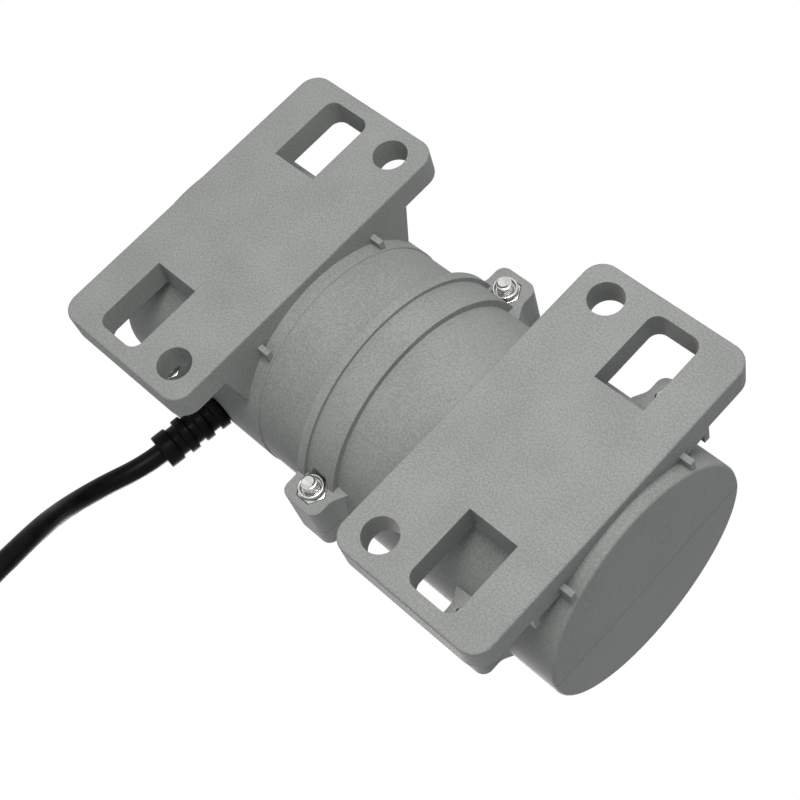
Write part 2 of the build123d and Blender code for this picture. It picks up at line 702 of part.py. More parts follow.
def bearing_ring(side, inner, outer):
    """One ring of a ball bearing with the groove of its balls."""
    start = side * bearing_x(side)
    end = start + side * BEARING_WIDTH
    race = ring(outer, inner, start, end)
    groove_place = on_axis((start + end) / 2) * Rot(0, 90, 0)
    return race - groove_place * Torus(BALL_PITCH_RADIUS, BALL_DIAMETER / 2 + BALL_GAP)


def bearing_outer(side):
    """Outer ring, which stays in the bell."""
    return bearing_ring(side, BEARING_RADIUS - BEARING_RACE, BEARING_RADIUS)


def bearing_inner(side):
    """Inner ring, which turns with the shaft."""
    return bearing_ring(side, SHAFT_RADIUS + FIT, SHAFT_RADIUS + BEARING_RACE)


def bearing_balls(side):
    """Balls of one bearing."""
    middle = side * (bearing_x(side) + BEARING_WIDTH / 2)
    ball = Pos(0, BALL_PITCH_RADIUS, 0) * Sphere(BALL_DIAMETER / 2)
    turns = [Rot(index * 360 / BALL_COUNT, 0, 0) for index in range(BALL_COUNT)]
    return Compound([on_axis(middle) * turn * ball for turn in turns])


def wave_washer():
    """Preload washer behind the bearing on the brush side."""
    start = -BEARING_SEAT_X
    return ring(BEARING_RADIUS - SEAT_CLEARANCE, WAVE_WASHER_INNER, start, start - WAVE_WASHER_THICKNESS)


def ring_places():
    """Inner x position and side of each retaining ring beside the weights."""
    inner = WEIGHT_START_X - RING_THICKNESS - SEAT_CLEARANCE
    outer = WEIGHT_START_X + WEIGHT_THICKNESS + SEAT_CLEARANCE
    return [(side, x) for side in (-1, 1) for x in (inner, outer)]


def shaft():
    """Stepped shaft with the grooves of its retaining rings."""
    half = SHAFT_LENGTH / 2
    bar = round_bar(SHAFT_RADIUS, -half, half)
    bar = chamfer(bar.edges().filter_by(GeomType.CIRCLE), SHAFT_CHAMFER)
    shoulders = [side * (bearing_x(side) - SEAT_CLEARANCE) for side in (-1, 1)]
    bar += round_bar(SHAFT_SHOULDER_RADIUS, *shoulders)
    groove_width = RING_THICKNESS + SEAT_CLEARANCE
    for side, x in ring_places():
        start = x - SEAT_CLEARANCE / 2
        floor = SHAFT_RADIUS - RING_GROOVE_DEPTH
        bar -= ring(2 * SHAFT_RADIUS, floor, side * start, side * (start + groove_width))
    return bar


def retaining_rings():
    """Open rings in the shaft grooves."""
    clips = []
    for side, x in ring_places():
        floor = SHAFT_RADIUS - RING_GROOVE_DEPTH + SEAT_CLEARANCE
        clip = ring(RING_OUTER, floor, side * x, side * (x + RING_THICKNESS))
        opening = Box(4 * RING_THICKNESS, RING_SLOT, RING_OUTER)
        clips.append(clip - on_axis(side * (x + RING_THICKNESS / 2), 0, RING_OUTER / 2) * opening)
    return Compound(clips)


def slot_turns():
    """Turns about the shaft line from slot to slot."""
    return [Rot(index * 360 / SLOT_COUNT, 0, 0) for index in range(SLOT_COUNT)]


def armature_core():
    """Stack of laminations with its winding slots."""
    core = ring(CORE_RADIUS, SHAFT_SHOULDER_RADIUS + FIT, CORE_START_X, CORE_END_X)
    length = CORE_LENGTH + 2
    depth = CORE_RADIUS + 1 - SLOT_PITCH_RADIUS
    pocket = Pos(0, SLOT_PITCH_RADIUS, 0) * Rot(0, 90, 0) * Cylinder(SLOT_RADIUS, length)
    mouth = Pos(0, SLOT_PITCH_RADIUS + depth / 2, 0) * Box(length, depth, SLOT_OPENING)
    middle = on_axis((CORE_START_X + CORE_END_X) / 2)
    return core - [middle * turn * (pocket + mouth) for turn in slot_turns()]


def armature_winding():
    """Copper in the slots and its two rounded end turns."""
    back = CORE_START_X - SEAT_CLEARANCE
    front = CORE_END_X + SEAT_CLEARANCE
    neck_end = COMMUTATOR_END_X + SEAT_CLEARANCE
    riser_radius = COMMUTATOR_RADIUS + RISER_HEIGHT
    coil = turned(
        (back, END_TURN_INNER),
        (back, END_TURN_OUTER),
        (back - END_TURN_LENGTH + END_TURN_CORNER, END_TURN_OUTER),
        (back - END_TURN_LENGTH, END_TURN_OUTER - END_TURN_CORNER),
        (neck_end, riser_radius),
        (neck_end, END_TURN_INNER + HUB_OVERHANG),
        (back - END_TURN_LENGTH, END_TURN_INNER),
    )
    coil += turned(
        (front, END_TURN_INNER),
        (front + END_TURN_LENGTH - END_TURN_CORNER, END_TURN_INNER),
        (front + END_TURN_LENGTH, END_TURN_INNER + END_TURN_CORNER),
        (front + END_TURN_LENGTH, END_TURN_OUTER - END_TURN_CORNER),
        (front + END_TURN_LENGTH - END_TURN_CORNER, END_TURN_OUTER),
        (front, END_TURN_OUTER),
    )
    length = front - back + 1
    radius = SLOT_RADIUS - WIRE_BUNDLE_CLEARANCE
    bundle = Pos(0, SLOT_PITCH_RADIUS, 0) * Rot(0, 90, 0) * Cylinder(radius, length)
    return coil + [on_axis((front + back) / 2) * turn * bundle for turn in slot_turns()]


def commutator_hub():
    """Moulded sleeve that carries the commutator bars."""
    outer = COMMUTATOR_RADIUS - COMMUTATOR_BAR_THICKNESS - FIT
    start = COMMUTATOR_START_X - HUB_OVERHANG
    return ring(outer, SHAFT_SHOULDER_RADIUS + FIT, start, COMMUTATOR_END_X)


def commutator_bars():
    """Copper bars with risers, parted by slits."""
    inner = COMMUTATOR_RADIUS - COMMUTATOR_BAR_THICKNESS
    riser_start = COMMUTATOR_END_X - RISER_LENGTH
    bars = ring(COMMUTATOR_RADIUS, inner, COMMUTATOR_START_X, COMMUTATOR_END_X)
    bars += ring(COMMUTATOR_RADIUS + RISER_HEIGHT, inner, riser_start, COMMUTATOR_END_X)
    reach = COMMUTATOR_RADIUS + RISER_HEIGHT + 1
    slit = Pos(0, reach / 2, 0) * Box(COMMUTATOR_LENGTH + 2, reach, COMMUTATOR_SLIT)
    middle = on_axis((COMMUTATOR_START_X + COMMUTATOR_END_X) / 2)
    return bars - [middle * turn * slit for turn in slot_turns()]


def weight_screw(clearance=0.0):
    """Clamp screw across the hub along y, its head seat at y = 0."""
    head_radius = BOLT_HEAD_DIAMETER / 2 + clearance
    shank_radius = BOLT_DIAMETER / 2 + clearance
    head = Pos(0, BOLT_HEAD_HEIGHT / 2, 0) * Rot(90, 0, 0) * Cylinder(head_radius, BOLT_HEAD_HEIGHT)
    shank = Rot(90, 0, 0) * Cylinder(shank_radius, WEIGHT_SCREW_LENGTH)
    return head + Pos(0, -WEIGHT_SCREW_LENGTH / 2, 0) * shank


def weight_screw_place(side):
    """Place of the clamp screw in one weight."""
    x = side * (WEIGHT_START_X + WEIGHT_THICKNESS / 2)
    return on_axis(x, WEIGHT_HUB_WIDTH / 2 - WEIGHT_SCREW_HEAD_RECESS, WEIGHT_SCREW_HEIGHT)


def weight(side):
    """Half-round eccentric weight with a split hub, its heavy side downwards."""
    arc = CenterArc((0, 0), WEIGHT_RADIUS, 180, 180)
    plan = make_face([arc, Line(arc @ 0, arc @ 1)])
    hub_low = -WEIGHT_HUB_CORNER
    hub_size = WEIGHT_HUB_HEIGHT - hub_low
    hub = RectangleRounded(WEIGHT_HUB_WIDTH, hub_size, WEIGHT_HUB_CORNER - FIT)
    plan += Pos(0, hub_low + hub_size / 2) * hub
    plan -= Circle(SHAFT_RADIUS + FIT)
    plan -= Pos(0, WEIGHT_HUB_HEIGHT / 2 + 1) * Rectangle(WEIGHT_SLIT, WEIGHT_HUB_HEIGHT + 2)
    body = extrude(Plane.YZ * plan, WEIGHT_THICKNESS)
    start = WEIGHT_START_X if side > 0 else -WEIGHT_START_X - WEIGHT_THICKNESS
    return on_axis(start) * body - weight_screw_place(side) * weight_screw(THREAD_CLEARANCE)


def weight_screws():
    """Both clamp screws, with the hexagon of their drives."""
    socket = extrude(RegularPolygon(BOLT_SOCKET_FLATS / 2, 6, major_radius=False), BOLT_SOCKET_DEPTH)
    socket = Pos(0, BOLT_HEAD_HEIGHT, 0) * Rot(90, 0, 0) * socket
    screw = weight_screw() - socket
    return Compound([weight_screw_place(side) * screw for side in (-1, 1)])


def brush_card():
    """Insulating plate that carries the brush boxes on the pilot of the bell."""
    radius = CAN_BORE - 2 * SEAT_CLEARANCE
    card = ring(radius, CARD_BORE, CARD_X, CARD_X + CARD_THICKNESS)
    lead_radius = LEAD_DIAMETER / 2 + SEAT_CLEARANCE
    for side in (-1, 1):
        place = on_axis(CARD_X, LEAD_Y, side * LEAD_RADIUS) * Rot(0, 90, 0)
        card -= place * Cylinder(lead_radius, 4 * CARD_THICKNESS)
    return card - [place * card_screw(FIT) for place in card_screw_places()]


def card_screw_places():
    """Places of the card screws, with local z along the shaft."""
    x = CARD_X + CARD_THICKNESS
    turned_line = on_axis(x) * Rot(CARD_SCREW_TURN, 0, 0)
    return [turned_line * Pos(0, side * CARD_SCREW_RADIUS, 0) * Rot(0, 90, 0) for side in (-1, 1)]


def card_screw(clearance=0.0):
    """Small screw with its head seat at z = 0 and its shank downwards."""
    head_radius = CARD_SCREW_HEAD_DIAMETER / 2
    shank = Cylinder(CARD_SCREW_DIAMETER / 2 + clearance, CARD_SCREW_LENGTH)
    head = Cylinder(head_radius, CARD_SCREW_HEAD_HEIGHT)
    return Pos(0, 0, -CARD_SCREW_LENGTH / 2) * shank + Pos(0, 0, CARD_SCREW_HEAD_HEIGHT / 2) * head


def brush_space():
    """Half sizes of the inside of a brush box along x and y."""
    return BRUSH_AXIAL / 2 + BRUSH_SIDE_CLEARANCE, BRUSH_WIDTH / 2 + BRUSH_SIDE_CLEARANCE


def brush_box(side):
    """Brass box with a lid for the spring, a foot on the card and a solder tab."""
    half_x, half_y = brush_space()
    wall_x, wall_y = half_x + BRUSH_BOX_WALL, half_y + BRUSH_BOX_WALL
    base, top = BRUSH_BOX_BASE_RADIUS, BRUSH_BOX_TOP_RADIUS
    shape = Pos(BRUSH_X, 0, 0) * block((-wall_x, wall_x), (-wall_y, wall_y), (base, top))
    shape -= Pos(BRUSH_X, 0, 0) * block((-half_x, half_x), (-half_y, half_y), (base - 1, SPRING_TOP_RADIUS))
    card_face = CARD_X + CARD_THICKNESS
    shape += block((card_face, BRUSH_X - half_x), (-wall_y, wall_y), (base, SPRING_TOP_RADIUS))
    tab_y = (0, LEAD_Y + BRUSH_TAB_WIDTH / 2)
    tab_z = (LEAD_RADIUS - BRUSH_TAB_WIDTH / 2, LEAD_RADIUS + BRUSH_TAB_WIDTH / 2)
    shape += block((card_face, card_face + BRUSH_TAB_THICKNESS), tab_y, tab_z)
    return on_axis() * (shape if side > 0 else mirror(shape, about=Plane.XY))


def brush(side):
    """Carbon brush with its face hollowed to the commutator."""
    low = COMMUTATOR_RADIUS - BRUSH_WIDTH / 4
    half_x, half_y = BRUSH_AXIAL / 2, BRUSH_WIDTH / 2
    shape = Pos(BRUSH_X, 0, 0) * block((-half_x, half_x), (-half_y, half_y), (low, BRUSH_TOP_RADIUS))
    shape = on_axis() * (shape if side > 0 else mirror(shape, about=Plane.XY))
    return shape - round_bar(BRUSH_TIP_RADIUS, BRUSH_X - BRUSH_AXIAL, BRUSH_X + BRUSH_AXIAL)


def brush_spring(side):
    """Open coil between the back of the brush and the lid of its box."""
    height = SPRING_TOP_RADIUS - BRUSH_TOP_RADIUS - SPRING_WIRE - 2 * SPRING_END_GAP
    radius = (SPRING_DIAMETER - SPRING_WIRE) / 2
    path = Helix(height / SPRING_TURNS, height, radius)
    section = Plane(origin=path @ 0, z_dir=path % 0) * Circle(SPRING_WIRE / 2)
    coil = sweep(section, path, is_frenet=True)
    coil = Pos(BRUSH_X, 0, BRUSH_TOP_RADIUS + SPRING_END_GAP + SPRING_WIRE / 2) * coil
    return on_axis() * (coil if side > 0 else mirror(coil, about=Plane.XY))


def inner_lead(side):
    """Insulated wire from the end of the cord to the tab of one brush box."""
    cord_end = gland_point(-CORD_TAIL_INSIDE)
    inwards = cord_end - gland_point(2 * LEAD_DIAMETER - CORD_TAIL_INSIDE)
    start = cord_end + Vector(0, 0, side * LEAD_SPREAD)
    route = [
        start,
        start + inwards,
        Vector(LEAD_RUN_X, LEAD_BEND_Y, AXIS_HEIGHT + side * LEAD_BEND_HEIGHT),
        Vector(LEAD_RUN_X, LEAD_Y, AXIS_HEIGHT + side * LEAD_RADIUS),
        Vector(CARD_X + CARD_THICKNESS, LEAD_Y, AXIS_HEIGHT + side * LEAD_RADIUS),
    ]
    return tube(tube_path(route, [LEAD_BEND_RADIUS] * (len(route) - 2)), LEAD_DIAMETER / 2)


def tube_path(route, radii):
    """Straight runs joined by tangent arcs."""
    return FilletPolyline(*route, radius=radii)


def tube(path, radius):
    """Round tube along a path."""
    return sweep(Plane(origin=path @ 0, z_dir=path % 0) * Circle(radius), path)


def gland_ring(radius, start, length):
    """Round slice of the strain relief, in its own frame."""
    return Pos(0, 0, start + length / 2) * Cylinder(radius, length)


def strain_relief():
    """Moulded rubber relief: inner flange, neck, collar, ribs and tip."""
    neck = GLAND_NECK_LENGTH
    body = gland_ring(GLAND_FLANGE_RADIUS, -neck - GLAND_INNER_FLANGE, GLAND_INNER_FLANGE)
    body += gland_ring(GLAND_NECK_RADIUS, -neck, neck)
    body += gland_ring(GLAND_COLLAR_RADIUS, 0, GLAND_COLLAR)
    body += gland_ring(GLAND_CORE_RADIUS, 0, GLAND_LENGTH)
    for index in range(GLAND_RIB_COUNT):
        start = GLAND_COLLAR + GLAND_RIB_GAP + index * GLAND_RIB_PITCH
        body += gland_ring(GLAND_RIB_RADIUS, start, GLAND_RIB_WIDTH)
    body += gland_ring(GLAND_TIP_RADIUS, GLAND_TIP_START, GLAND_TIP_LENGTH)
    body -= Cylinder(CORD_RADIUS + GLAND_BORE_CLEARANCE, 4 * GLAND_LENGTH)
    return gland_frame().location * body


def cord_crimp():
    """Metal ring pressed on the cord inside the shell."""
    inner = CORD_RADIUS + CRIMP_CLEARANCE
    band = Cylinder(inner + CRIMP_WALL, CRIMP_LENGTH) - Cylinder(inner, 2 * CRIMP_LENGTH)
    middle = -GLAND_NECK_LENGTH - GLAND_INNER_FLANGE - CRIMP_LENGTH / 2 - SEAT_CLEARANCE
    return gland_frame().location * Pos(0, 0, middle) * band


def cord_points():
    """Points of the cord from inside the shell to its coil."""
    return [gland_point(-CORD_TAIL_INSIDE), *[Vector(*point) for point in CORD_ROUTE]]


def cord_radii(points):
    """Largest arc that fits each corner of the route."""
    radii = []
    for before, corner, after in zip(points, points[1:], points[2:]):
        incoming, outgoing = corner - before, after - corner
        half_turn = math.radians(incoming.get_angle(outgoing)) / 2
        shorter = min(incoming.length, outgoing.length)
        radii.append(CORD_ARC_SHARE * shorter / math.tan(half_turn))
    return radii


def power_cord():
    """Stretch of cord that isn't coiled."""
    points = cord_points()
    radii = cord_radii(points)
    path = tube_path(points, radii)
    cord = tube(path, CORD_RADIUS)
    section = math.pi * CORD_RADIUS**2
    print("cord radii:", [round(radius) for radius in radii])
    print(f"cord volume {cord.volume:.0f}, section times length {section * path.length:.0f}")
    return cord


def coil_place():
    """Middle of the coil on the floor."""
    return Pos(*COIL_CENTRE, 0)


def power_cord_coil():
    """Outer form of the wound cord, with a flat where the cord comes in."""
    inner = COIL_MEAN_RADIUS - COIL_SECTION_WIDTH / 2
    outer = COIL_MEAN_RADIUS + COIL_SECTION_WIDTH / 2
    top = COIL_LIFT + COIL_SECTION_HEIGHT
    band = Cylinder(outer, COIL_SECTION_HEIGHT) - Cylinder(inner, 2 * COIL_SECTION_HEIGHT)
    band = coil_place() * Pos(0, 0, (COIL_LIFT + top) / 2) * band
    end_x, end_y, end_z = CORD_ROUTE[-1]
    half_entry = CORD_RADIUS + COIL_ENTRY_CLEARANCE
    entry_x = (end_x - half_entry, end_x + COIL_SECTION_WIDTH)
    entry_z = (0, 2 * end_z + COIL_ENTRY_CLEARANCE)
    entry = block(entry_x, (end_y - outer, end_y), entry_z)
    return band - entry


def cord_tie():
    """Strap round the bundle of turns."""
    width, height = COIL_SECTION_WIDTH, COIL_SECTION_HEIGHT
    hole = Box(width + 2 * TIE_CLEARANCE, 2 * TIE_WIDTH, height + 2 * TIE_CLEARANCE)
    strap = Box(width + 2 * TIE_THICKNESS, TIE_WIDTH, height + 2 * TIE_THICKNESS) - hole
    middle_z = COIL_LIFT + height / 2
    return coil_place() * Rot(0, 0, TIE_ANGLE) * Pos(COIL_MEAN_RADIUS, 0, middle_z) * strap


def tail_radius():
    """Radius of the last part turn, which lies beside the coil."""
    return COIL_MEAN_RADIUS + COIL_SECTION_WIDTH / 2 + CORD_RADIUS + TAIL_GAP


def power_cord_tail():
    """Last part turn of the cord beside the coil."""
    path = CenterArc((*COIL_CENTRE, CORD_RADIUS), tail_radius(), TAIL_START_ANGLE, TAIL_SWEEP)
    return sweep(Plane(origin=path @ 0, z_dir=path % 0) * Circle(CORD_RADIUS), path)


def cord_core(side):
    """Insulated core with its bare tinned end, beyond the end of the cord."""
    angle = TAIL_START_ANGLE + TAIL_SWEEP
    place = coil_place() * Rot(0, 0, angle) * Pos(tail_radius(), 0, CORD_RADIUS)
    radius = CORE_WIRE_DIAMETER / 2
    first = radius * math.sin(math.radians(CORE_WIRE_SPREAD))
    spread = Rot(0, 0, -side * CORE_WIRE_SPREAD)
    start = place * Pos(side * (radius + SEAT_CLEARANCE), first, 0) * spread
    wire = Cylinder(radius, CORE_WIRE_LENGTH)
    wire = Pos(0, CORE_WIRE_LENGTH / 2, 0) * Rot(90, 0, 0) * wire
    tinned = Cylinder(CORE_TINNED_DIAMETER / 2, CORE_TINNED_LENGTH)
    wire += Pos(0, CORE_WIRE_LENGTH + CORE_TINNED_LENGTH / 2, 0) * Rot(90, 0, 0) * tinned
    return start * wire


def seal():
    """Seal cord that lies in the groove of the lower shell, open at the strain relief."""
    return seal_strip(SEAL_WIDTH, SEAL_DEPTH) - gland_hole()


def all_parts():
    """Every piece by its name."""
    return {
        "lower_shell": lower_shell(),
        "drive_end_foot": foot_plate(1),
        "brush_end_foot": foot_plate(-1),
        "drive_end_outer_webs": outer_webs(1),
        "brush_end_outer_webs": outer_webs(-1),
        "upper_shell": upper_shell(),
        "shell_seal": seal(),
        "mid_shell_bolts": at_ears(shell_bolt(), BOLT_HEAD_SEAT, mid=True),
        "mid_shell_nuts": at_ears(shell_nut(), NUT_SEAT, mid=True),
        "mid_shell_washers": at_ears(shell_washer(), UPPER_EAR_FACE, mid=True),
        "outer_shell_bolts": at_ears(shell_bolt(), BOLT_HEAD_SEAT, mid=False),
        "outer_shell_nuts": at_ears(shell_nut(), NUT_SEAT, mid=False),
        "outer_shell_washers": at_ears(shell_washer(), UPPER_EAR_FACE, mid=False),
        "motor_can": motor_can(),
        "can_screws": Compound([place * can_screw() for place in can_screw_places()]),
        "cord_side_magnet": magnet(1),
        "far_side_magnet": magnet(-1),
        "magnet_clips": magnet_clips(),
        "drive_end_bell": end_bell(1),
        "brush_end_bell": brush_end_bell(),
        "drive_bearing_outer_ring": bearing_outer(1),
        "drive_bearing_balls": bearing_balls(1),
        "drive_bearing_inner_ring": bearing_inner(1),
        "brush_bearing_outer_ring": bearing_outer(-1),
        "brush_bearing_balls": bearing_balls(-1),
        "brush_bearing_inner_ring": bearing_inner(-1),
        "preload_washer": wave_washer(),
        "shaft": shaft(),
        "retaining_rings": retaining_rings(),
        "armature_core": armature_core(),
        "armature_winding": armature_winding(),
        "commutator_hub": commutator_hub(),
        "commutator_bars": commutator_bars(),
        "drive_end_weight": weight(1),
        "brush_end_weight": weight(-1),
        "weight_clamp_screws": weight_screws(),
        "brush_card": brush_card(),
        "brush_card_screws": Compound([place * card_screw() for place in card_screw_places()]),
        "upper_brush_box": brush_box(1),
        "lower_brush_box": brush_box(-1),
        "upper_brush": brush(1),
        "lower_brush": brush(-1),
        "upper_brush_spring": brush_spring(1),
        "lower_brush_spring": brush_spring(-1),
        "red_inner_lead": inner_lead(1),
        "black_inner_lead": inner_lead(-1),
        "strain_relief": strain_relief(),
        "cord_crimp": cord_crimp(),
        "power_cord": power_cord(),
        "power_cord_coil": power_cord_coil(),
        "power_cord_tail": power_cord_tail(),
        "cord_tie": cord_tie(),
        "red_cord_core": cord_core(1),
        "black_cord_core": cord_core(-1),
    }


os.makedirs("parts", exist_ok=True)
for name, part in all_parts().items():
    export_step(part, f"parts/{name}.step")
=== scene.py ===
"""Looks of a small vibration motor: its finishes, lock nuts, strain relief, cord, cord tie and studio."""

import json
import logging
import math
from collections.abc import Sequence
from dataclasses import dataclass, field
from enum import Enum

import bmesh
import bpy
from mathutils import Matrix, Vector

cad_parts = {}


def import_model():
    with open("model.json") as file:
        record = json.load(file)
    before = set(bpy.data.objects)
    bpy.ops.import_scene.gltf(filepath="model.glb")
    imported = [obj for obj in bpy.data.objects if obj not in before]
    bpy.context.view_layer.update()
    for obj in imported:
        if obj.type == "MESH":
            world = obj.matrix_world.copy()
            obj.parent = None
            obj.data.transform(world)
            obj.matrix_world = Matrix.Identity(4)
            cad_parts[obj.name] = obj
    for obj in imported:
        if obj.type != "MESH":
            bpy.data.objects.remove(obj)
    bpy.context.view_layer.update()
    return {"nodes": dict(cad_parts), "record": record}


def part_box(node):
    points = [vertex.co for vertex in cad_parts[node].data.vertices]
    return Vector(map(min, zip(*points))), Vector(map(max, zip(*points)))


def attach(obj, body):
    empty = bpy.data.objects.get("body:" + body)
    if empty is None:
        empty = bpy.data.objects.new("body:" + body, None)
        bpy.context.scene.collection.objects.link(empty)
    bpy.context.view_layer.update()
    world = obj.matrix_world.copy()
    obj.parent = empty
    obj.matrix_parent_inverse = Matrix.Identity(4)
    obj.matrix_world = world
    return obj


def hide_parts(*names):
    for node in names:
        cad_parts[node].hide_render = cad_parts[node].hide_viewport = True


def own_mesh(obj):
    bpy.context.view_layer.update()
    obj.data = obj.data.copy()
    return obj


log = logging.getLogger("motor")

MM = 0.001
MOTOR_FRAME = "motor_frame"
AXIS_HEIGHT = 36.0 * MM
MERGE_DISTANCE = MM / 200.0
SMOOTH_ANGLE = 35.0
BEVEL_SAMPLES = 6
# Turn of the rounded normal from the true one, as 1 minus their dot product, where an edge starts and is full
EDGE_TURN = (0.01, 0.25)
# Sockets of a Mix node for colours: factor, first colour, second colour and result
MIX_FACTOR, MIX_FIRST, MIX_SECOND, MIX_RESULT = 0, 6, 7, 2
WHITE = (1.0, 1.0, 1.0, 1.0)
FLOOR_TONE = (0.86, 0.86, 0.86, 1.0)
Colour = tuple[float, float, float]


@dataclass(frozen=True)
class Value:
    """A number or vector that changes over a surface: one output of a node."""

    graph: "Graph"
    socket: bpy.types.NodeSocket

    def _math(self, operation: str, *terms: "Value | float") -> "Value":
        """Adds one Math node with the given terms in order."""
        return self.graph.value("ShaderNodeMath", {"operation": operation}, dict(enumerate(terms)))

    def __add__(self, other: "Value | float") -> "Value":
        """Sum of two values."""
        return self._math("ADD", self, other)

    def __radd__(self, other: float) -> "Value":
        """Sum with a number on the left."""
        return self._math("ADD", other, self)

    def __sub__(self, other: "Value | float") -> "Value":
        """Difference of two values."""
        return self._math("SUBTRACT", self, other)

    def __rsub__(self, other: float) -> "Value":
        """Difference with a number on the left."""
        return self._math("SUBTRACT", other, self)

    def __mul__(self, other: "Value | float") -> "Value":
        """Product of two values."""
        return self._math("MULTIPLY", self, other)

    def __rmul__(self, other: float) -> "Value":
        """Product with a number on the left."""
        return self._math("MULTIPLY", other, self)

    def __abs__(self) -> "Value":
        """Size of a value without its sign."""
        return self._math("ABSOLUTE", self)

    def __lt__(self, other: float) -> "Value":
        """1 where the value is below a number, 0 elsewhere."""
        return self._math("LESS_THAN", self, other)

    def larger(self, other: "Value") -> "Value":
        """The larger one of two values."""
        return self._math("MAXIMUM", self, other)

    def sine(self) -> "Value":
        """Sine of a value in radians."""
        return self._math("SINE", self)

    def squeezed(self, low: float, high: float) -> "Value":
        """Brings one stretch of a value to 0 to 1, with soft ends.

        Args:
            low: Value that becomes 0, with all below it.
            high: Value that becomes 1, with all above it.

        Returns:
            The new value.
        """
        settings = {"interpolation_type": "SMOOTHSTEP"}
        inputs = {"Value": self, "From Min": low, "From Max": high}
        return self.graph.value("ShaderNodeMapRange", settings, inputs)


class Graph:
    """Node tree of one material or of the world."""

    def __init__(self, tree: bpy.types.NodeTree) -> None:
        """Empties the tree, so that it holds only what is added here."""
        self.tree = tree
        tree.nodes.clear()

    def node(self, kind: str, settings: dict | None = None, inputs: dict | None = None) -> bpy.types.Node:
        """Adds one node.

        Args:
            kind: Type name of the node.
            settings: Properties that are set before the sockets.
            inputs: Constants or values of its input sockets, by name or number.

        Returns:
            The new node.
        """
        node = self.tree.nodes.new(kind)
        for name, setting in (settings or {}).items():
            setattr(node, name, setting)
        for key, given in (inputs or {}).items():
            if isinstance(given, Value):
                self.tree.links.new(given.socket, node.inputs[key])
            else:
                node.inputs[key].default_value = given
        return node

    def value(self, kind: str, settings: dict | None = None, inputs: dict | None = None,
              output: int | str = 0) -> Value:
        """Adds one node as above and gives one of its outputs, by name or number."""
        return Value(self, self.node(kind, settings, inputs).outputs[output])

    def place(self) -> Value:
        """Place on the part, in metres."""
        return self.value("ShaderNodeTexCoord", output="Object")

    def stretched(self, place: Value, scale: Sequence[float]) -> Value:
        """Place with each axis scaled by its own number."""
        return self.value("ShaderNodeMapping", inputs={"Vector": place, "Scale": tuple(scale)})

    def along(self, place: Value, axis: str) -> Value:
        """One coordinate of a place."""
        return self.value("ShaderNodeSeparateXYZ", inputs={0: place}, output=axis)

    def noise(self, place: Value, size_mm: float, detail: float = 3.0, roughness: float = 0.55) -> Value:
        """Soft random pattern whose patches have about the given size."""
        inputs = {"Vector": place, "Scale": 1.0 / (size_mm * MM), "Detail": detail, "Roughness": roughness}
        return self.value("ShaderNodeTexNoise", inputs=inputs)

    def specks(self, place: Value, size_mm: float) -> Value:
        """Distance from the middle of scattered specks, in cells of the given size."""
        inputs = {"Vector": place, "Scale": 1.0 / (size_mm * MM)}
        return self.value("ShaderNodeTexVoronoi", inputs=inputs)

    def blend(self, factor: Value, first: Value | Colour, second: Value | Colour) -> Value:
        """Blends two colours.

        Args:
            factor: Share of the second colour.
            first: Colour at 0.
            second: Colour at 1.

        Returns:
            The blended colour.
        """
        ends = [shade if isinstance(shade, Value) else (*shade, 1.0) for shade in (first, second)]
        inputs = {MIX_FACTOR: factor, MIX_FIRST: ends[0], MIX_SECOND: ends[1]}
        return self.value("ShaderNodeMix", {"data_type": "RGBA"}, inputs, output=MIX_RESULT)

    def edges(self, width_mm: float) -> Value:
        """Finds the outer and inner edges of a solid.

        Args:
            width_mm: Reach of an edge on each side.

        Returns:
            1 along the edges, 0 on the open faces.
        """
        soft = self.value("ShaderNodeBevel", {"samples": BEVEL_SAMPLES}, {"Radius": width_mm * MM})
        flat = self.value("ShaderNodeNewGeometry", output="Normal")
        turn = self.value("ShaderNodeVectorMath", {"operation": "DOT_PRODUCT"}, {0: soft, 1: flat}, "Value")
        return (1.0 - turn).squeezed(*EDGE_TURN)


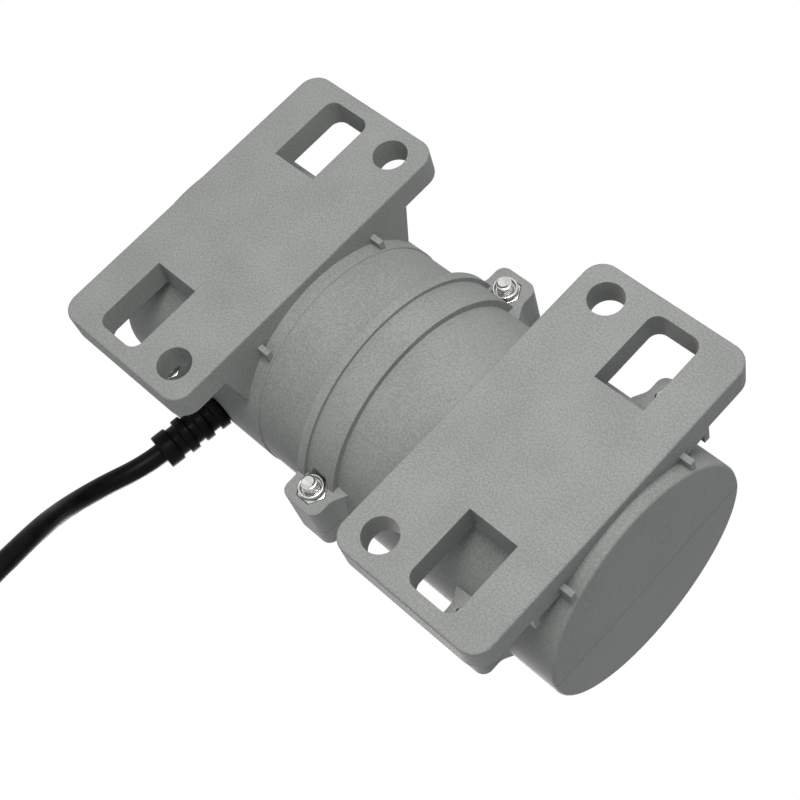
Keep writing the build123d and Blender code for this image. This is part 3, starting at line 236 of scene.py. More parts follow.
@dataclass(frozen=True)
class Finish:
    """A surface of two close tones with a fine relief; the kinds below change its tone or its relief.

    Sizes are in millimetres. The tone mixes slow patches, by cloud_share, with fine grain.
    """

    dark: Colour
    light: Colour
    rough: tuple[float, float] = (0.4, 0.5)
    metallic: float = 0.0
    patch_mm: float = 9.0
    grain_mm: float = 0.5
    relief_mm: float = 0.02
    coat: float = 0.0
    edge_mm: float = 0.0
    refraction: float = 1.45
    cloud_share: float = 0.6
    tone_range: tuple[float, float] = (0.32, 0.68)

    def mixed(self, patches: Value, grain: Value) -> Value:
        """Slow patches and fine grain as one tone from 0 to 1."""
        return (self.cloud_share * patches + (1.0 - self.cloud_share) * grain).squeezed(*self.tone_range)

    def tone(self, graph: Graph, place: Value) -> Value:
        """Share of the light tone at each place."""
        return self.mixed(graph.noise(place, self.patch_mm), graph.noise(place, self.grain_mm))

    def height(self, graph: Graph, place: Value) -> Value:
        """Relief at each place, from 0 to 1."""
        return graph.noise(place, self.grain_mm)

    def colour(self, graph: Graph, place: Value, tone: Value) -> Value:
        """Colour at each place."""
        return graph.blend(tone, self.dark, self.light)

    def material(self, slot: str) -> bpy.types.Material:
        """Makes the material.

        Args:
            slot: Material slot of the record, which names it.

        Returns:
            The finished material.
        """
        material = bpy.data.materials.new(slot)
        material.use_nodes = True
        graph = Graph(material.node_tree)
        place = graph.place()
        tone = self.tone(graph, place)
        low, high = self.rough
        bump = {"Strength": 1.0, "Distance": self.relief_mm * MM, "Height": self.height(graph, place)}
        if self.edge_mm:
            inputs = {"Radius": self.edge_mm * MM}
            bump["Normal"] = graph.value("ShaderNodeBevel", {"samples": BEVEL_SAMPLES}, inputs)
        sockets = {
            "Base Color": self.colour(graph, place, tone),
            "Metallic": self.metallic,
            "Roughness": low + (high - low) * tone,
            "Coat Weight": self.coat,
            "IOR": self.refraction,
            "Normal": graph.value("ShaderNodeBump", inputs=bump),
        }
        shader = graph.value("ShaderNodeBsdfPrincipled", inputs=sockets)
        graph.node("ShaderNodeOutputMaterial", inputs={"Surface": shader})
        return material


@dataclass(frozen=True)
class MouldedShell(Finish):
    """Matt moulding: cloudy tone, fine pits, a painted highlight along the edges and a dark line at the
    parting plane.

    Each share says how much of its effect shows, and each ratio compares a size with the one that it follows.
    """

    # Pale tone of the painted highlight along the edges
    edge_highlight_tone: Colour = (0.56, 0.57, 0.55)
    seam_tone: Colour = (0.10, 0.10, 0.10)
    seam_half_mm: float = 0.13
    seam_share: float = 0.8
    pit_mm: float = 0.55
    pit_rim: tuple[float, float] = (0.05, 0.45)
    pit_depth: float = 0.25
    cloud_share: float = 0.28
    tone_range: tuple[float, float] = (0.36, 0.64)
    peel_share: float = 0.7
    wave_ratio: float = 3.0
    # Strength of the painted edge highlight, its least share, and the size of the patches that break it up
    edge_highlight_share: float = 0.55
    least_edge_highlight: float = 0.35
    highlight_patch_ratio: float = 1.0 / 3.0

    def tone(self, graph: Graph, place: Value) -> Value:
        """Mixes the clouds and the fine grain, with small dark pits in them.

        Args:
            graph: Node tree of the material.
            place: Place on the part.

        Returns:
            Share of the light tone at each place.
        """
        clouds = graph.noise(place, self.patch_mm, detail=3.0, roughness=0.5)
        grain = graph.noise(place, self.grain_mm, detail=2.0)
        pits = graph.specks(place, self.pit_mm).squeezed(*self.pit_rim)
        return self.mixed(clouds, grain) * ((1.0 - self.pit_depth) + self.pit_depth * pits)

    def height(self, graph: Graph, place: Value) -> Value:
        """Orange-peel grain over slow waves."""
        waves = graph.noise(place, self.wave_ratio * self.grain_mm)
        return self.peel_share * graph.noise(place, self.grain_mm) + (1.0 - self.peel_share) * waves

    def colour(self, graph: Graph, place: Value, tone: Value) -> Value:
        """Mixes the two greys, with a painted highlight along the edges, and darker in the seam.

        Args:
            graph: Node tree of the material.
            place: Place on the part.
            tone: Share of the light grey.

        Returns:
            Colour at each place.
        """
        body = graph.blend(tone, self.dark, self.light)
        # Painted highlight: outer and inner edges are lightened towards the pale edge tone, broken up by
        # noise patches
        highlight_patches = graph.noise(place, self.patch_mm * self.highlight_patch_ratio)
        edge_highlight = graph.edges(self.edge_mm) * (self.least_edge_highlight + (1.0 - self.least_edge_highlight) * highlight_patches)
        highlighted = graph.blend(self.edge_highlight_share * edge_highlight, body, self.edge_highlight_tone)
        seam = abs(graph.along(place, "Z") - AXIS_HEIGHT) < self.seam_half_mm * MM
        return graph.blend(seam * self.seam_share, highlighted, self.seam_tone)


@dataclass(frozen=True)
class Striped(Finish):
    """Lines at even steps along one axis: turned grooves, laminations or thread."""

    axis: str = "X"
    pitch_mm: float = 0.7
    line_share: float = 0.5

    def height(self, graph: Graph, place: Value) -> Value:
        """Lays rounded lines over the grain.

        Args:
            graph: Node tree of the material.
            place: Place on the part.

        Returns:
            Relief from 0 to 1.
        """
        turns = graph.along(place, self.axis) * (2.0 * math.pi / (self.pitch_mm * MM))
        lines = 0.5 + 0.5 * turns.sine()
        return self.line_share * lines + (1.0 - self.line_share) * graph.noise(place, self.grain_mm)


@dataclass(frozen=True)
class Brushed(Finish):
    """Fine lines drawn out along one axis."""

    stretch: tuple[float, float, float] = (0.06, 1.0, 1.0)
    cloud_share: float = 0.5
    tone_range: tuple[float, float] = (0.30, 0.70)

    def tone(self, graph: Graph, place: Value) -> Value:
        """Long thin streaks in slow clouds."""
        streaks = graph.noise(graph.stretched(place, self.stretch), self.grain_mm)
        return self.mixed(graph.noise(place, self.patch_mm), streaks)

    def height(self, graph: Graph, place: Value) -> Value:
        """Relief of the same streaks."""
        return graph.noise(graph.stretched(place, self.stretch), self.grain_mm)


# Finishes by slot: dark and light tone, roughness range, metal, and sizes of patch, grain and relief in mm
FINISHES: dict[str, Finish] = {
    "housing": MouldedShell((0.235, 0.248, 0.244), (0.325, 0.340, 0.331), (0.60, 0.76), patch_mm=16.0,
                            grain_mm=0.5, relief_mm=0.02, edge_mm=0.3, refraction=1.3),
    "seal_rubber": Finish((0.014, 0.014, 0.014), (0.03, 0.03, 0.03), (0.55, 0.7)),
    "zinc_steel": Finish((0.52, 0.53, 0.52), (0.74, 0.75, 0.74), (0.22, 0.36), 1.0, 2.0, 0.25, 0.006,
                         edge_mm=0.12),
    "can_steel": Brushed((0.38, 0.39, 0.40), (0.56, 0.57, 0.58), (0.28, 0.42), 1.0, 12.0, 0.3, 0.006),
    "dark_steel": Finish((0.03, 0.03, 0.035), (0.09, 0.09, 0.10), (0.35, 0.5), 1.0, 2.0, 0.2, 0.005),
    "ferrite": Finish((0.05, 0.05, 0.055), (0.11, 0.11, 0.115), (0.6, 0.8), 0.0, 6.0, 0.3, 0.02),
    "spring_steel": Brushed((0.30, 0.30, 0.31), (0.48, 0.48, 0.49), (0.3, 0.42), 1.0, 4.0, 0.2, 0.004),
    "bell_alloy": Striped((0.46, 0.47, 0.48), (0.64, 0.65, 0.66), (0.34, 0.48), 1.0, 8.0, 0.3, 0.008,
                          pitch_mm=0.35),
    "bearing_steel": Finish((0.60, 0.61, 0.63), (0.74, 0.75, 0.77), (0.12, 0.2), 1.0, 4.0, 0.2, 0.001),
    "shaft_steel": Striped((0.48, 0.48, 0.49), (0.64, 0.64, 0.65), (0.2, 0.3), 1.0, 6.0, 0.2, 0.002,
                           pitch_mm=0.2),
    "lamination_steel": Striped((0.20, 0.21, 0.22), (0.36, 0.37, 0.38), (0.35, 0.5), 1.0, 5.0, 0.3, 0.05,
                                pitch_mm=0.5, line_share=0.8),
    "winding_copper": Striped((0.34, 0.10, 0.035), (0.62, 0.24, 0.10), (0.22, 0.34), 0.7, 2.0, 0.4, 0.15,
                              coat=0.5, pitch_mm=0.6, line_share=0.7),
    "dark_moulding": Finish((0.012, 0.010, 0.009), (0.03, 0.024, 0.02), (0.4, 0.55), 0.0, 4.0, 0.3, 0.01,
                            refraction=1.3),
    "bar_copper": Striped((0.55, 0.24, 0.12), (0.75, 0.40, 0.24), (0.22, 0.36), 1.0, 3.0, 0.2, 0.006,
                          pitch_mm=0.25),
    "weight_steel": Brushed((0.36, 0.37, 0.38), (0.52, 0.53, 0.54), (0.32, 0.46), 1.0, 8.0, 0.35, 0.01,
                            stretch=(1.0, 0.06, 1.0)),
    "card_laminate": Brushed((0.20, 0.11, 0.045), (0.30, 0.18, 0.085), (0.4, 0.55), 0.0, 5.0, 0.4, 0.01,
                             stretch=(1.0, 0.1, 1.0)),
    "brass": Brushed((0.55, 0.40, 0.16), (0.74, 0.57, 0.26), (0.24, 0.38), 1.0, 3.0, 0.2, 0.004),
    "carbon": Finish((0.025, 0.025, 0.027), (0.07, 0.07, 0.075), (0.45, 0.7), 0.2, 2.0, 0.2, 0.02),
    "red_insulation": Finish((0.40, 0.03, 0.02), (0.56, 0.05, 0.035), (0.32, 0.42), 0.0, 4.0, 0.4, 0.006),
    "black_insulation": Finish((0.014, 0.014, 0.015), (0.03, 0.03, 0.032), (0.34, 0.46), 0.0, 4.0, 0.4,
                               0.006),
    "black_rubber": Finish((0.003, 0.003, 0.004), (0.007, 0.007, 0.008), (0.30, 0.42), 0.0, 5.0, 0.35, 0.012,
                           refraction=1.15),
    "threaded_zinc": Striped((0.52, 0.53, 0.52), (0.74, 0.75, 0.74), (0.22, 0.36), 1.0, 2.0, 0.25, 0.16,
                             axis="Z", pitch_mm=0.7, line_share=0.9),
}
THREADED_NODES = ("mid_shell_bolts", "outer_shell_bolts")


class Finishes:
    """The materials of the motor, each made once."""

    def __init__(self) -> None:
        """Makes a material of each finish."""
        self.made = {slot: finish.material(slot) for slot, finish in FINISHES.items()}

    def dress(self, piece: bpy.types.Object, *slots: str) -> None:
        """Gives a piece its materials.

        Args:
            piece: Piece of the frame or of this scene.
            slots: Names of its finishes, in the order of its faces' material numbers.
        """
        piece.data.materials.clear()
        for slot in slots:
            piece.data.materials.append(self.made[slot])

    def dress_nodes(self, nodes: dict[str, bpy.types.Object], record: dict) -> None:
        """Gives every node of the frame the finish of its slot.

        Args:
            nodes: Objects of the frame by node name.
            record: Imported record, whose subparts name the slots.
        """
        slots = {part["node"]: part["material_slot"] for part in record["subparts"]}
        for name, piece in nodes.items():
            slot = "threaded_zinc" if name in THREADED_NODES else slots[name]
            self.dress(piece, slot)
            log.info("node %s has finish %s", name, slot)


def new_piece(name: str, shape: bmesh.types.BMesh,
              smooth_angle: float = SMOOTH_ANGLE) -> bpy.types.Object:
    """Makes an object of a finished shape, at the origin.

    Args:
        name: Name of the piece.
        shape: Shape in the motor's frame; it is freed.
        smooth_angle: Largest turn in degrees that is shaded smooth.

    Returns:
        The new object, linked to the scene.
    """
    bmesh.ops.remove_doubles(shape, verts=shape.verts, dist=MERGE_DISTANCE)
    bmesh.ops.recalc_face_normals(shape, faces=shape.faces)
    limit = math.radians(smooth_angle)
    for face in shape.faces:
        face.smooth = True
    for edge in shape.edges:
        edge.smooth = len(edge.link_faces) == 2 and edge.calc_face_angle(0.0) < limit
    mesh = bpy.data.meshes.new(name)
    shape.to_mesh(mesh)
    shape.free()
    piece = bpy.data.objects.new(name, mesh)
    bpy.context.scene.collection.objects.link(piece)
    return piece


def spun(shape: bmesh.types.BMesh, outline: Sequence[tuple[float, float]], rounding: float,
         steps: int = 48, rounding_steps: int = 3) -> list[bmesh.types.BMVert]:
    """Turns a closed outline about the local Z axis.

    Args:
        shape: Shape that takes the new faces.
        outline: Corners as (radius, height) in millimetres.
        rounding: Radius of the rounded corners in millimetres, or 0 for sharp ones.
        steps: Faces around the axis.
        rounding_steps: Faces across each rounded corner.

    Returns:
        The new vertices.
    """
    before = set(shape.verts)
    corners = [shape.verts.new((radius * MM, 0.0, height * MM)) for radius, height in outline]
    edges = [shape.edges.new(pair) for pair in zip(corners, corners[1:] + corners[:1])]
    if rounding:
        bmesh.ops.bevel(shape, geom=corners, offset=rounding * MM, offset_type="OFFSET", affect="VERTICES",
                        segments=rounding_steps, profile=0.5, material=-1, clamp_overlap=True)
        edges = [edge for edge in shape.edges if not set(edge.verts) & before and not edge.link_faces]
    loop = [vertex for edge in edges for vertex in edge.verts]
    geometry = list(dict.fromkeys(loop)) + edges
    bmesh.ops.spin(shape, geom=geometry, cent=(0, 0, 0), axis=(0, 0, 1), angle=2.0 * math.pi, steps=steps,
                   use_merge=True)
    return [vertex for vertex in shape.verts if vertex not in before]


class EarRow(Enum):
    """The two rows of shell fasteners, by the node of their nuts."""

    MIDDLE = "mid_shell_nuts"
    OUTER = "outer_shell_nuts"


@dataclass
class LockNuts:
    """Lock nuts of one row of ears: hexagon, rolled collar and dark insert ring. Sizes in millimetres."""

    row: EarRow
    sides: int = 6
    flats: float = 7.0
    hex_height: float = 3.2
    height: float = 5.0
    collar_radius: float = 3.3
    bore_radius: float = 2.05
    insert_radius: float = 2.7
    insert_depth: float = 1.3
    ear_y: float = 35.0
    edge_rounding: float = 0.25
    edge_steps: int = 2
    collar_overlap: float = 0.4
    collar_steps: int = 40
    insert_reach: float = 0.3
    piece: bpy.types.Object | None = field(default=None, init=False)

    @property
    def corner_radius(self) -> float:
        """Distance from the axis to a corner of the hexagon."""
        return self.flats / 2.0 / math.cos(math.pi / self.sides)

    def one_nut(self, shape: bmesh.types.BMesh, place: Vector) -> None:
        """Adds one nut with its collar downwards.

        Args:
            shape: Empty shape that takes the nut.
            place: Middle of the nut's seat.
        """
        radius = self.corner_radius * MM
        middle = Matrix.Translation((0, 0, -self.hex_height / 2.0 * MM))
        turned = Matrix.Rotation(math.pi / 2.0, 4, "Z")
        made = bmesh.ops.create_cone(shape, cap_ends=True, segments=self.sides, radius1=radius,
                                     radius2=radius, depth=self.hex_height * MM, matrix=middle @ turned)
        hexagon = made["verts"]
        rims = {edge for vertex in hexagon for edge in vertex.link_edges if len(edge.link_faces) == 2}
        bmesh.ops.bevel(shape, geom=list(rims), offset=self.edge_rounding * MM, offset_type="OFFSET",
                        affect="EDGES", segments=self.edge_steps, profile=0.5, material=-1,
                        clamp_overlap=True)
        hexagon_part = set(shape.verts)
        base = -self.hex_height + self.collar_overlap
        insert = -self.height + self.insert_depth
        collar = [
            (self.bore_radius, base),
            (self.collar_radius, base),
            (self.collar_radius, -self.height),
            (self.insert_radius, -self.height),
            (self.insert_radius, insert),
            (self.bore_radius, insert),
        ]
        spun(shape, collar, self.edge_rounding, steps=self.collar_steps)
        for face in shape.faces:
            on_collar = hexagon_part.isdisjoint(face.verts)
            centre = face.calc_center_median()
            level = abs(centre.z - insert * MM) < self.insert_reach * MM
            if on_collar and level and centre.xy.length < self.insert_radius * MM:
                face.material_index = 1
        bmesh.ops.translate(shape, verts=shape.verts, vec=place)

    def build(self, finishes: Finishes) -> None:
        """Args:
            finishes: Materials of the motor.
        """
        low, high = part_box(self.row.value)
        half_width = self.corner_radius * MM
        if self.row is EarRow.MIDDLE:
            places_x = [(low.x + high.x) / 2.0]
        else:
            places_x = [low.x + half_width, high.x - half_width]
        whole = bmesh.new()
        for x in places_x:
            for side in (-1, 1):
                nut = bmesh.new()
                self.one_nut(nut, Vector((x, side * self.ear_y * MM, high.z)))
                mesh = bpy.data.meshes.new("nut_draft")
                nut.to_mesh(mesh)
                nut.free()
                whole.from_mesh(mesh)
                bpy.data.meshes.remove(mesh)
        self.piece = new_piece(self.row.value.replace("shell", "lock"), whole)
        finishes.dress(self.piece, "zinc_steel", "dark_moulding")
        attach(self.piece, MOTOR_FRAME)
        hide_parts(self.row.value)
        log.info("built %s", self.piece.name)


class BrushSide(Enum):
    """The two brushes, by the first word of their nodes."""

    UPPER = "upper"
    LOWER = "lower"


@dataclass
class BrushSpring:
    """Coil spring behind one brush, which the brush presses together as it lifts. Sizes in millimetres."""

    side: BrushSide
    wire: float = 0.45
    turns: float = 3.5
    steps_per_turn: int = 28
    wire_steps: int = 10
    lift: float = 2.0
    piece: bpy.types.Object | None = field(default=None, init=False)

    def build(self, finishes: Finishes) -> None:
        """Builds the spring where the frame has it.

        Args:
            finishes: Materials of the motor.
        """
        node = f"{self.side.value}_brush_spring"
        low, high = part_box(node)
        middle = (low + high) / 2.0
        foot = Vector((high.x - self.wire / 2.0 * MM, middle.y, low.z + self.wire / 2.0 * MM))
        rise = high.z - low.z - self.wire * MM
        steps = int(self.turns * self.steps_per_turn)
        shape = bmesh.new()
        bmesh.ops.create_circle(shape, cap_ends=False, segments=self.wire_steps, radius=self.wire / 2.0 * MM,
                                matrix=Matrix.Translation(foot) @ Matrix.Rotation(math.pi / 2.0, 4, "X"))
        bmesh.ops.spin(shape, geom=shape.verts[:] + shape.edges[:], cent=middle, axis=(0, 0, 1),
                       dvec=(0, 0, rise / steps), angle=2.0 * math.pi * self.turns, steps=steps)
        bmesh.ops.holes_fill(shape, edges=[edge for edge in shape.edges if edge.is_boundary])
        self.piece = new_piece(f"{self.side.value}_coil_spring", shape)
        finishes.dress(self.piece, "spring_steel")
        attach(self.piece, MOTOR_FRAME)
        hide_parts(node)
        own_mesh(self.piece)
        log.info("built %s", self.piece.name)


@dataclass
class StrainRelief:
    """Rubber relief of the cord: collar, two ribs and a tip with rounded rims. Sizes in millimetres."""

    root: tuple[float, float, float] = (-40.3, 32.7, 36.0)
    swing: float = 7.8
    bore: float = 3.0
    core: float = 4.2
    neck: float = 4.3
    neck_length: float = 4.85
    flange: float = 5.7
    flange_width: float = 1.4
    collar: float = 5.2
    collar_width: float = 2.7
    rib: float = 5.1
    rib_width: float = 2.55
    rib_gap: float = 2.3
    rib_count: int = 2
    tip: float = 4.9
    tip_width: float = 4.1
    rounding: float = 0.55
    steps: int = 56
    smooth_angle: float = 50.0
    piece: bpy.types.Object | None = field(default=None, init=False)

    @property
    def length(self) -> float:
        """Length from the wall to the tip."""
        ribs = self.rib_count * (self.rib_gap + self.rib_width)
        return self.collar_width + ribs + self.rib_gap + self.tip_width

    def matrix(self) -> Matrix:
        """Works out the relief's place.

        Returns:
            Matrix to the motor's frame, with local Z outwards along the cord.
        """
        place = Matrix.Translation(Vector(self.root) * MM)
        swung = Matrix.Rotation(math.radians(self.swing), 4, "Z")
        return place @ swung @ Matrix.Rotation(-math.pi / 2.0, 4, "X")

    def point(self, distance: float) -> Vector:
        """Point on its line, counted outwards from the wall in millimetres."""
        return self.matrix() @ Vector((0.0, 0.0, distance * MM))

    def outline(self) -> list[tuple[float, float]]:
        """Works out its section.

        Returns:
            Corners as (radius, height), from the inner end along the outside to the tip.
        """
        inner_end = -self.neck_length - self.flange_width
        corners = [(self.bore, inner_end), (self.flange, inner_end), (self.flange, -self.neck_length)]
        corners += [(self.neck, -self.neck_length), (self.neck, 0.0)]
        corners += [(self.collar, 0.0), (self.collar, self.collar_width)]
        height = self.collar_width
        rings = [(self.rib, self.rib_width)] * self.rib_count + [(self.tip, self.tip_width)]
        for radius, width in rings:
            start = height + self.rib_gap
            corners += [(self.core, height), (self.core, start), (radius, start), (radius, start + width)]
            height = start + width
        return corners + [(self.bore, height)]

    def build(self, finishes: Finishes) -> None:
        """Args:
            finishes: Materials of the motor.
        """
        shape = bmesh.new()
        spun(shape, self.outline(), self.rounding, steps=self.steps)
        bmesh.ops.transform(shape, matrix=self.matrix(), verts=shape.verts)
        self.piece = new_piece("ribbed_strain_relief", shape, self.smooth_angle)
        finishes.dress(self.piece, "black_rubber")
        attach(self.piece, MOTOR_FRAME)
        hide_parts("strain_relief")
        log.info("built %s", self.piece.name)


@dataclass
class PowerCord:
    """Round two-core cord: its free stretch, its wound turns and its last part turn. Sizes in millimetres.

    The route gives points in the motor's frame. The passes give radius and height of each turn in the
    bundle, and the descent and the tail's end give angle, radius and height of points past the last turn.
    """

    relief: StrainRelief
    diameter: float = 5.5
    tail_inside: float = 9.4
    route: tuple[tuple[float, float, float], ...] = (
        (-40.6, 34.8, 36.1),
        (-42.2, 46.2, 35.95),
        (-43.9, 57.0, 36.0),
        (-45.8, 68.15, 32.05),
        (-43.6, 78.5, 24.5),
        (-37.7, 86.0, 14.2),
        (-32.7, 96.3, 6.7),
        (-30.0, 108.5, 2.75),
        (-30.0, 120.5, 2.75),
    )
    coil_centre: tuple[float, float] = (-60.0, 136.0)
    entry_angle: float = -5.0
    points_per_turn: int = 16
    passes: tuple[tuple[float, float], ...] = (
        (33.0, 3.75),
        (27.0, 3.75),
        (27.0, 9.25),
        (33.0, 9.25),
        (30.0, 14.0),
    )
    shift_share: float = 0.16
    descent: tuple[tuple[float, float, float], ...] = (
        (-10.0, 31.0, 14.3),
        (5.0, 34.0, 14.0),
        (18.0, 38.0, 10.5),
        (30.0, 39.4, 5.8),
        (42.0, 39.2, 2.8),
        (55.0, 39.1, 2.75),
        (68.0, 39.1, 2.75),
        (80.0, 39.1, 2.75),
    )
    tail_end: tuple[float, float, float] = (88.0, 39.05, 2.75)
    length: float = 1.13
    spline_order: int = 3
    steps_per_point: int = 8
    ring_steps: int = 5
    piece: bpy.types.Object | None = field(default=None, init=False)

    def on_coil(self, angle: float, radius: float, height: float, control: bool = True) -> Vector:
        """Finds a point near the coil.

        Args:
            angle: Direction from the coil's middle in degrees.
            radius: Distance from the coil's middle.
            height: Height over the floor.
            control: True for a control point, which stands a little outside the curve that it bends.

        Returns:
            The point in metres.
        """
        turn = math.radians(angle)
        reach = radius / math.cos(math.pi / self.points_per_turn) if control else radius
        x, y = self.coil_centre
        return Vector((x + reach * math.cos(turn), y + reach * math.sin(turn), height)) * MM

    def turn_section(self, turn: int, share: float) -> tuple[float, float]:
        """Finds the cord's place in the bundle, which shifts to the next turn's near the end of each turn.

        Args:
            turn: Number of the turn, from 0.
            share: Part of the turn that is done, from 0 to 1.

        Returns:
            Radius and height in millimetres.
        """
        here = self.passes[turn]
        after = self.passes[min(turn + 1, len(self.passes) - 1)]
        shift_end = 1.0 - turn * self.shift_share
        moved = min(max((share - shift_end + self.shift_share) / self.shift_share, 0.0), 1.0)
        return tuple(a + (b - a) * moved for a, b in zip(here, after))

    def points(self) -> list[Vector]:
        """Lists the control points.

        Returns:
            The points from inside the shell to the bare end, in metres.
        """
        points = [self.relief.point(-self.tail_inside)]
        points += [Vector(point) * MM for point in self.route]
        step = 360.0 / self.points_per_turn
        for index in range(1, len(self.passes) * self.points_per_turn):
            turn, part = divmod(index, self.points_per_turn)
            radius, height = self.turn_section(turn, part / self.points_per_turn)
            points.append(self.on_coil(self.entry_angle + (index - 1) * step, radius, height))
        points += [self.on_coil(*place) for place in self.descent]
        return points + [self.on_coil(*self.tail_end, control=False)]

    def build(self, finishes: Finishes) -> None:
        """Builds the cord as one spline.

        Args:
            finishes: Materials of the motor.
        """
        curve = bpy.data.curves.new("cord_line", "CURVE")
        curve.dimensions = "3D"
        curve.resolution_u = self.steps_per_point
        curve.bevel_depth = self.diameter / 2.0 * MM
        curve.bevel_resolution = self.ring_steps
        curve.use_fill_caps = True
        spline = curve.splines.new("NURBS")
        points = self.points()
        spline.points.add(len(points) - 1)
        for knot, point in zip(spline.points, points):
            knot.co = (*point, 1.0)
        spline.order_u = self.spline_order
        spline.use_endpoint_u = True
        self.piece = bpy.data.objects.new("round_power_cord", curve)
        bpy.context.scene.collection.objects.link(self.piece)
        finishes.dress(self.piece, "black_rubber")
        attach(self.piece, MOTOR_FRAME)
        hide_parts("power_cord", "power_cord_coil", "power_cord_tail")
        log.info("built %s with %d control points", self.piece.name, len(points))

    def declare(self) -> None:
        """Works out the point where the cord leaves the strain relief, and keeps nothing of it.
        """
        tuple(self.relief.point(self.relief.length))


@dataclass
class CordTie:
    """Strap with a locking head round the wound turns. Sizes in millimetres."""

    cord: PowerCord
    strap_width: float = 4.0
    thickness: float = 0.8
    inner_width: float = 12.3
    inner_height: float = 16.8
    rounding: float = 3.0
    angle: float = 215.0
    mean_radius: float = 30.0
    middle_height: float = 9.25
    head: tuple[float, float, float] = (3.0, 5.2, 5.4)
    head_rounding: float = 0.6
    corner_steps: int = 6
    head_steps: int = 3
    piece: bpy.types.Object | None = field(default=None, init=False)

    def build(self, finishes: Finishes) -> None:
        """Args:
            finishes: Materials of the motor.
        """
        shape = bmesh.new()
        size = Vector((self.inner_width, self.strap_width, self.inner_height)) * MM
        bmesh.ops.create_cube(shape, size=1.0, matrix=Matrix.Diagonal((*size, 1.0)))
        ends = [face for face in shape.faces if round(abs(face.normal.y)) == 1]
        bmesh.ops.delete(shape, geom=ends, context="FACES_ONLY")
        long_edges = [edge for edge in shape.edges if len(edge.link_faces) == 2]
        bmesh.ops.bevel(shape, geom=long_edges, offset=self.rounding * MM, offset_type="OFFSET",
                        affect="EDGES", segments=self.corner_steps, profile=0.5, material=-1)
        bmesh.ops.recalc_face_normals(shape, faces=shape.faces)
        bmesh.ops.solidify(shape, geom=shape.faces[:], thickness=-self.thickness * MM)
        head_place = Matrix.Translation(((self.inner_width / 2.0 + self.thickness) * MM, 0, 0))
        head_size = Matrix.Diagonal((*Vector(self.head) * MM, 1.0))
        made = bmesh.ops.create_cube(shape, size=1.0, matrix=head_place @ head_size)
        rims = {edge for vertex in made["verts"] for edge in vertex.link_edges}
        bmesh.ops.bevel(shape, geom=list(rims), offset=self.head_rounding * MM, offset_type="OFFSET",
                        affect="EDGES", segments=self.head_steps, profile=0.5, material=-1)
        centre = Matrix.Translation(Vector((*self.cord.coil_centre, 0.0)) * MM)
        turn = Matrix.Rotation(math.radians(self.angle), 4, "Z")
        out = Matrix.Translation(Vector((self.mean_radius, 0.0, self.middle_height)) * MM)
        bmesh.ops.transform(shape, matrix=centre @ turn @ out, verts=shape.verts)
        self.piece = new_piece("cord_tie_strap", shape)
        finishes.dress(self.piece, "black_insulation")
        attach(self.piece, MOTOR_FRAME)
        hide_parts("cord_tie")
        log.info("built %s", self.piece.name)


@dataclass(frozen=True)
class Lamp:
    """Soft square lamp: its place and size in metres and its power in watts."""

    name: str
    place: tuple[float, float, float]
    size: float
    power: float


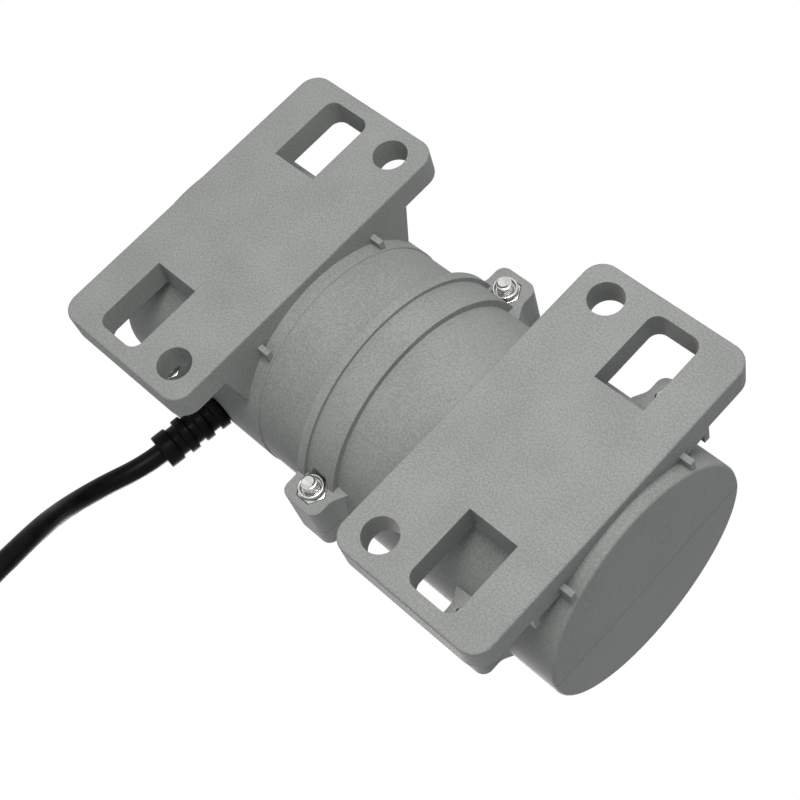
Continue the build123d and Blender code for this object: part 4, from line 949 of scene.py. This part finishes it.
@dataclass
class Studio:
    """Camera at the photograph's place, soft lamps, plain world and a pale floor."""

    camera_place: tuple[float, float, float] = (0.17392, 0.08813, -0.29629)
    camera_right: tuple[float, float, float] = (0.7043, -0.6814, 0.1993)
    camera_up: tuple[float, float, float] = (-0.5408, -0.6968, -0.4713)
    clip_start: float = 0.01
    lamps: tuple[Lamp, ...] = (
        Lamp("key", (0.06, -0.03, -0.40), 0.16, 1.35),
        Lamp("over", (-0.12, 0.05, 0.80), 0.50, 6.0),
    )
    lamp_tint: Colour = (1.0, 0.97, 0.94)
    lens: float = 68.65
    sensor: float = 36.0
    floor_size: float = 4.0
    floor_cells: int = 4
    floor_gap: float = 0.0006
    ambient: float = 0.38
    target: tuple[float, float, float] = (0.0, 0.0, 0.03)

    def build(self) -> None:
        """Builds everything around the object."""
        self.build_camera()
        self.build_world()
        self.build_floor()
        for lamp in self.lamps:
            self.build_lamp(lamp)
        bpy.context.scene.view_settings.view_transform = "Standard"

    def build_camera(self) -> None:
        """Places the camera that was solved from the photograph."""
        data = bpy.data.cameras.new("photo_camera")
        data.lens = self.lens
        data.sensor_width = self.sensor
        data.clip_start = self.clip_start
        right = Vector(self.camera_right).normalized()
        up = Vector(self.camera_up)
        up = (up - right * right.dot(up)).normalized()
        back = right.cross(up)
        turn = Matrix((right, up, back)).transposed().to_4x4()
        camera = bpy.data.objects.new("photo_camera", data)
        camera.matrix_world = Matrix.Translation(self.camera_place) @ turn
        bpy.context.scene.collection.objects.link(camera)
        bpy.context.scene.camera = camera

    def build_lamp(self, lamp: Lamp) -> None:
        """Adds a lamp that faces the object.

        Args:
            lamp: Size, place and power of the lamp.
        """
        data = bpy.data.lights.new(lamp.name, "AREA")
        data.size = lamp.size
        data.energy = lamp.power
        data.color = self.lamp_tint
        light = bpy.data.objects.new(lamp.name, data)
        light.location = lamp.place
        light.rotation_euler = (Vector(self.target) - Vector(lamp.place)).to_track_quat("-Z", "Y").to_euler()
        bpy.context.scene.collection.objects.link(light)

    def build_world(self) -> None:
        """Makes the world white to the eye and in reflections, and dimmer as a light."""
        world = bpy.data.worlds.new("studio")
        world.use_nodes = True
        bpy.context.scene.world = world
        graph = Graph(world.node_tree)
        path = graph.node("ShaderNodeLightPath")
        seen = [Value(graph, path.outputs[f"Is {kind} Ray"]) for kind in ("Camera", "Glossy", "Transmission")]
        shown = seen[0].larger(seen[1]).larger(seen[2])
        strength = self.ambient + (1.0 - self.ambient) * shown
        sky = graph.value("ShaderNodeBackground", inputs={"Color": WHITE, "Strength": strength})
        graph.node("ShaderNodeOutputWorld", inputs={"Surface": sky})

    def build_floor(self) -> None:
        """Lays a pale floor that shows only from above, because the photograph looks at the underside."""
        shape = bmesh.new()
        bmesh.ops.create_grid(shape, x_segments=self.floor_cells, y_segments=self.floor_cells,
                              size=self.floor_size / 2.0)
        bmesh.ops.translate(shape, verts=shape.verts, vec=(0.0, 0.0, -self.floor_gap))
        mesh = bpy.data.meshes.new("floor")
        shape.to_mesh(mesh)
        shape.free()
        floor = bpy.data.objects.new("floor", mesh)
        bpy.context.scene.collection.objects.link(floor)
        material = bpy.data.materials.new("floor")
        material.use_nodes = True
        graph = Graph(material.node_tree)
        camera_ray = graph.value("ShaderNodeLightPath", output="Is Camera Ray")
        behind = graph.value("ShaderNodeNewGeometry", output="Backfacing")
        clear = graph.value("ShaderNodeBsdfTransparent")
        pale = graph.value("ShaderNodeBsdfDiffuse", inputs={"Color": FLOOR_TONE})
        seen_from_above = camera_ray * (1.0 - behind)
        surface = graph.value("ShaderNodeMixShader", inputs={0: seen_from_above, 1: clear, 2: pale})
        graph.node("ShaderNodeOutputMaterial", inputs={"Surface": surface})
        mesh.materials.append(material)


def main() -> None:
    """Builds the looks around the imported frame."""
    logging.basicConfig(level=logging.INFO, format="%(message)s")
    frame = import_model()
    Studio().build()
    finishes = Finishes()
    relief = StrainRelief()
    cord = PowerCord(relief)
    cord.build(finishes)
    relief.build(finishes)
    tie = CordTie(cord)
    tie.build(finishes)
    finishes.dress_nodes(frame["nodes"], frame["record"])
    cord.declare()
    for row in EarRow:
        LockNuts(row).build(finishes)
    for side in BrushSide:
        BrushSpring(side).build(finishes)


if __name__ == "__main__":
    main()
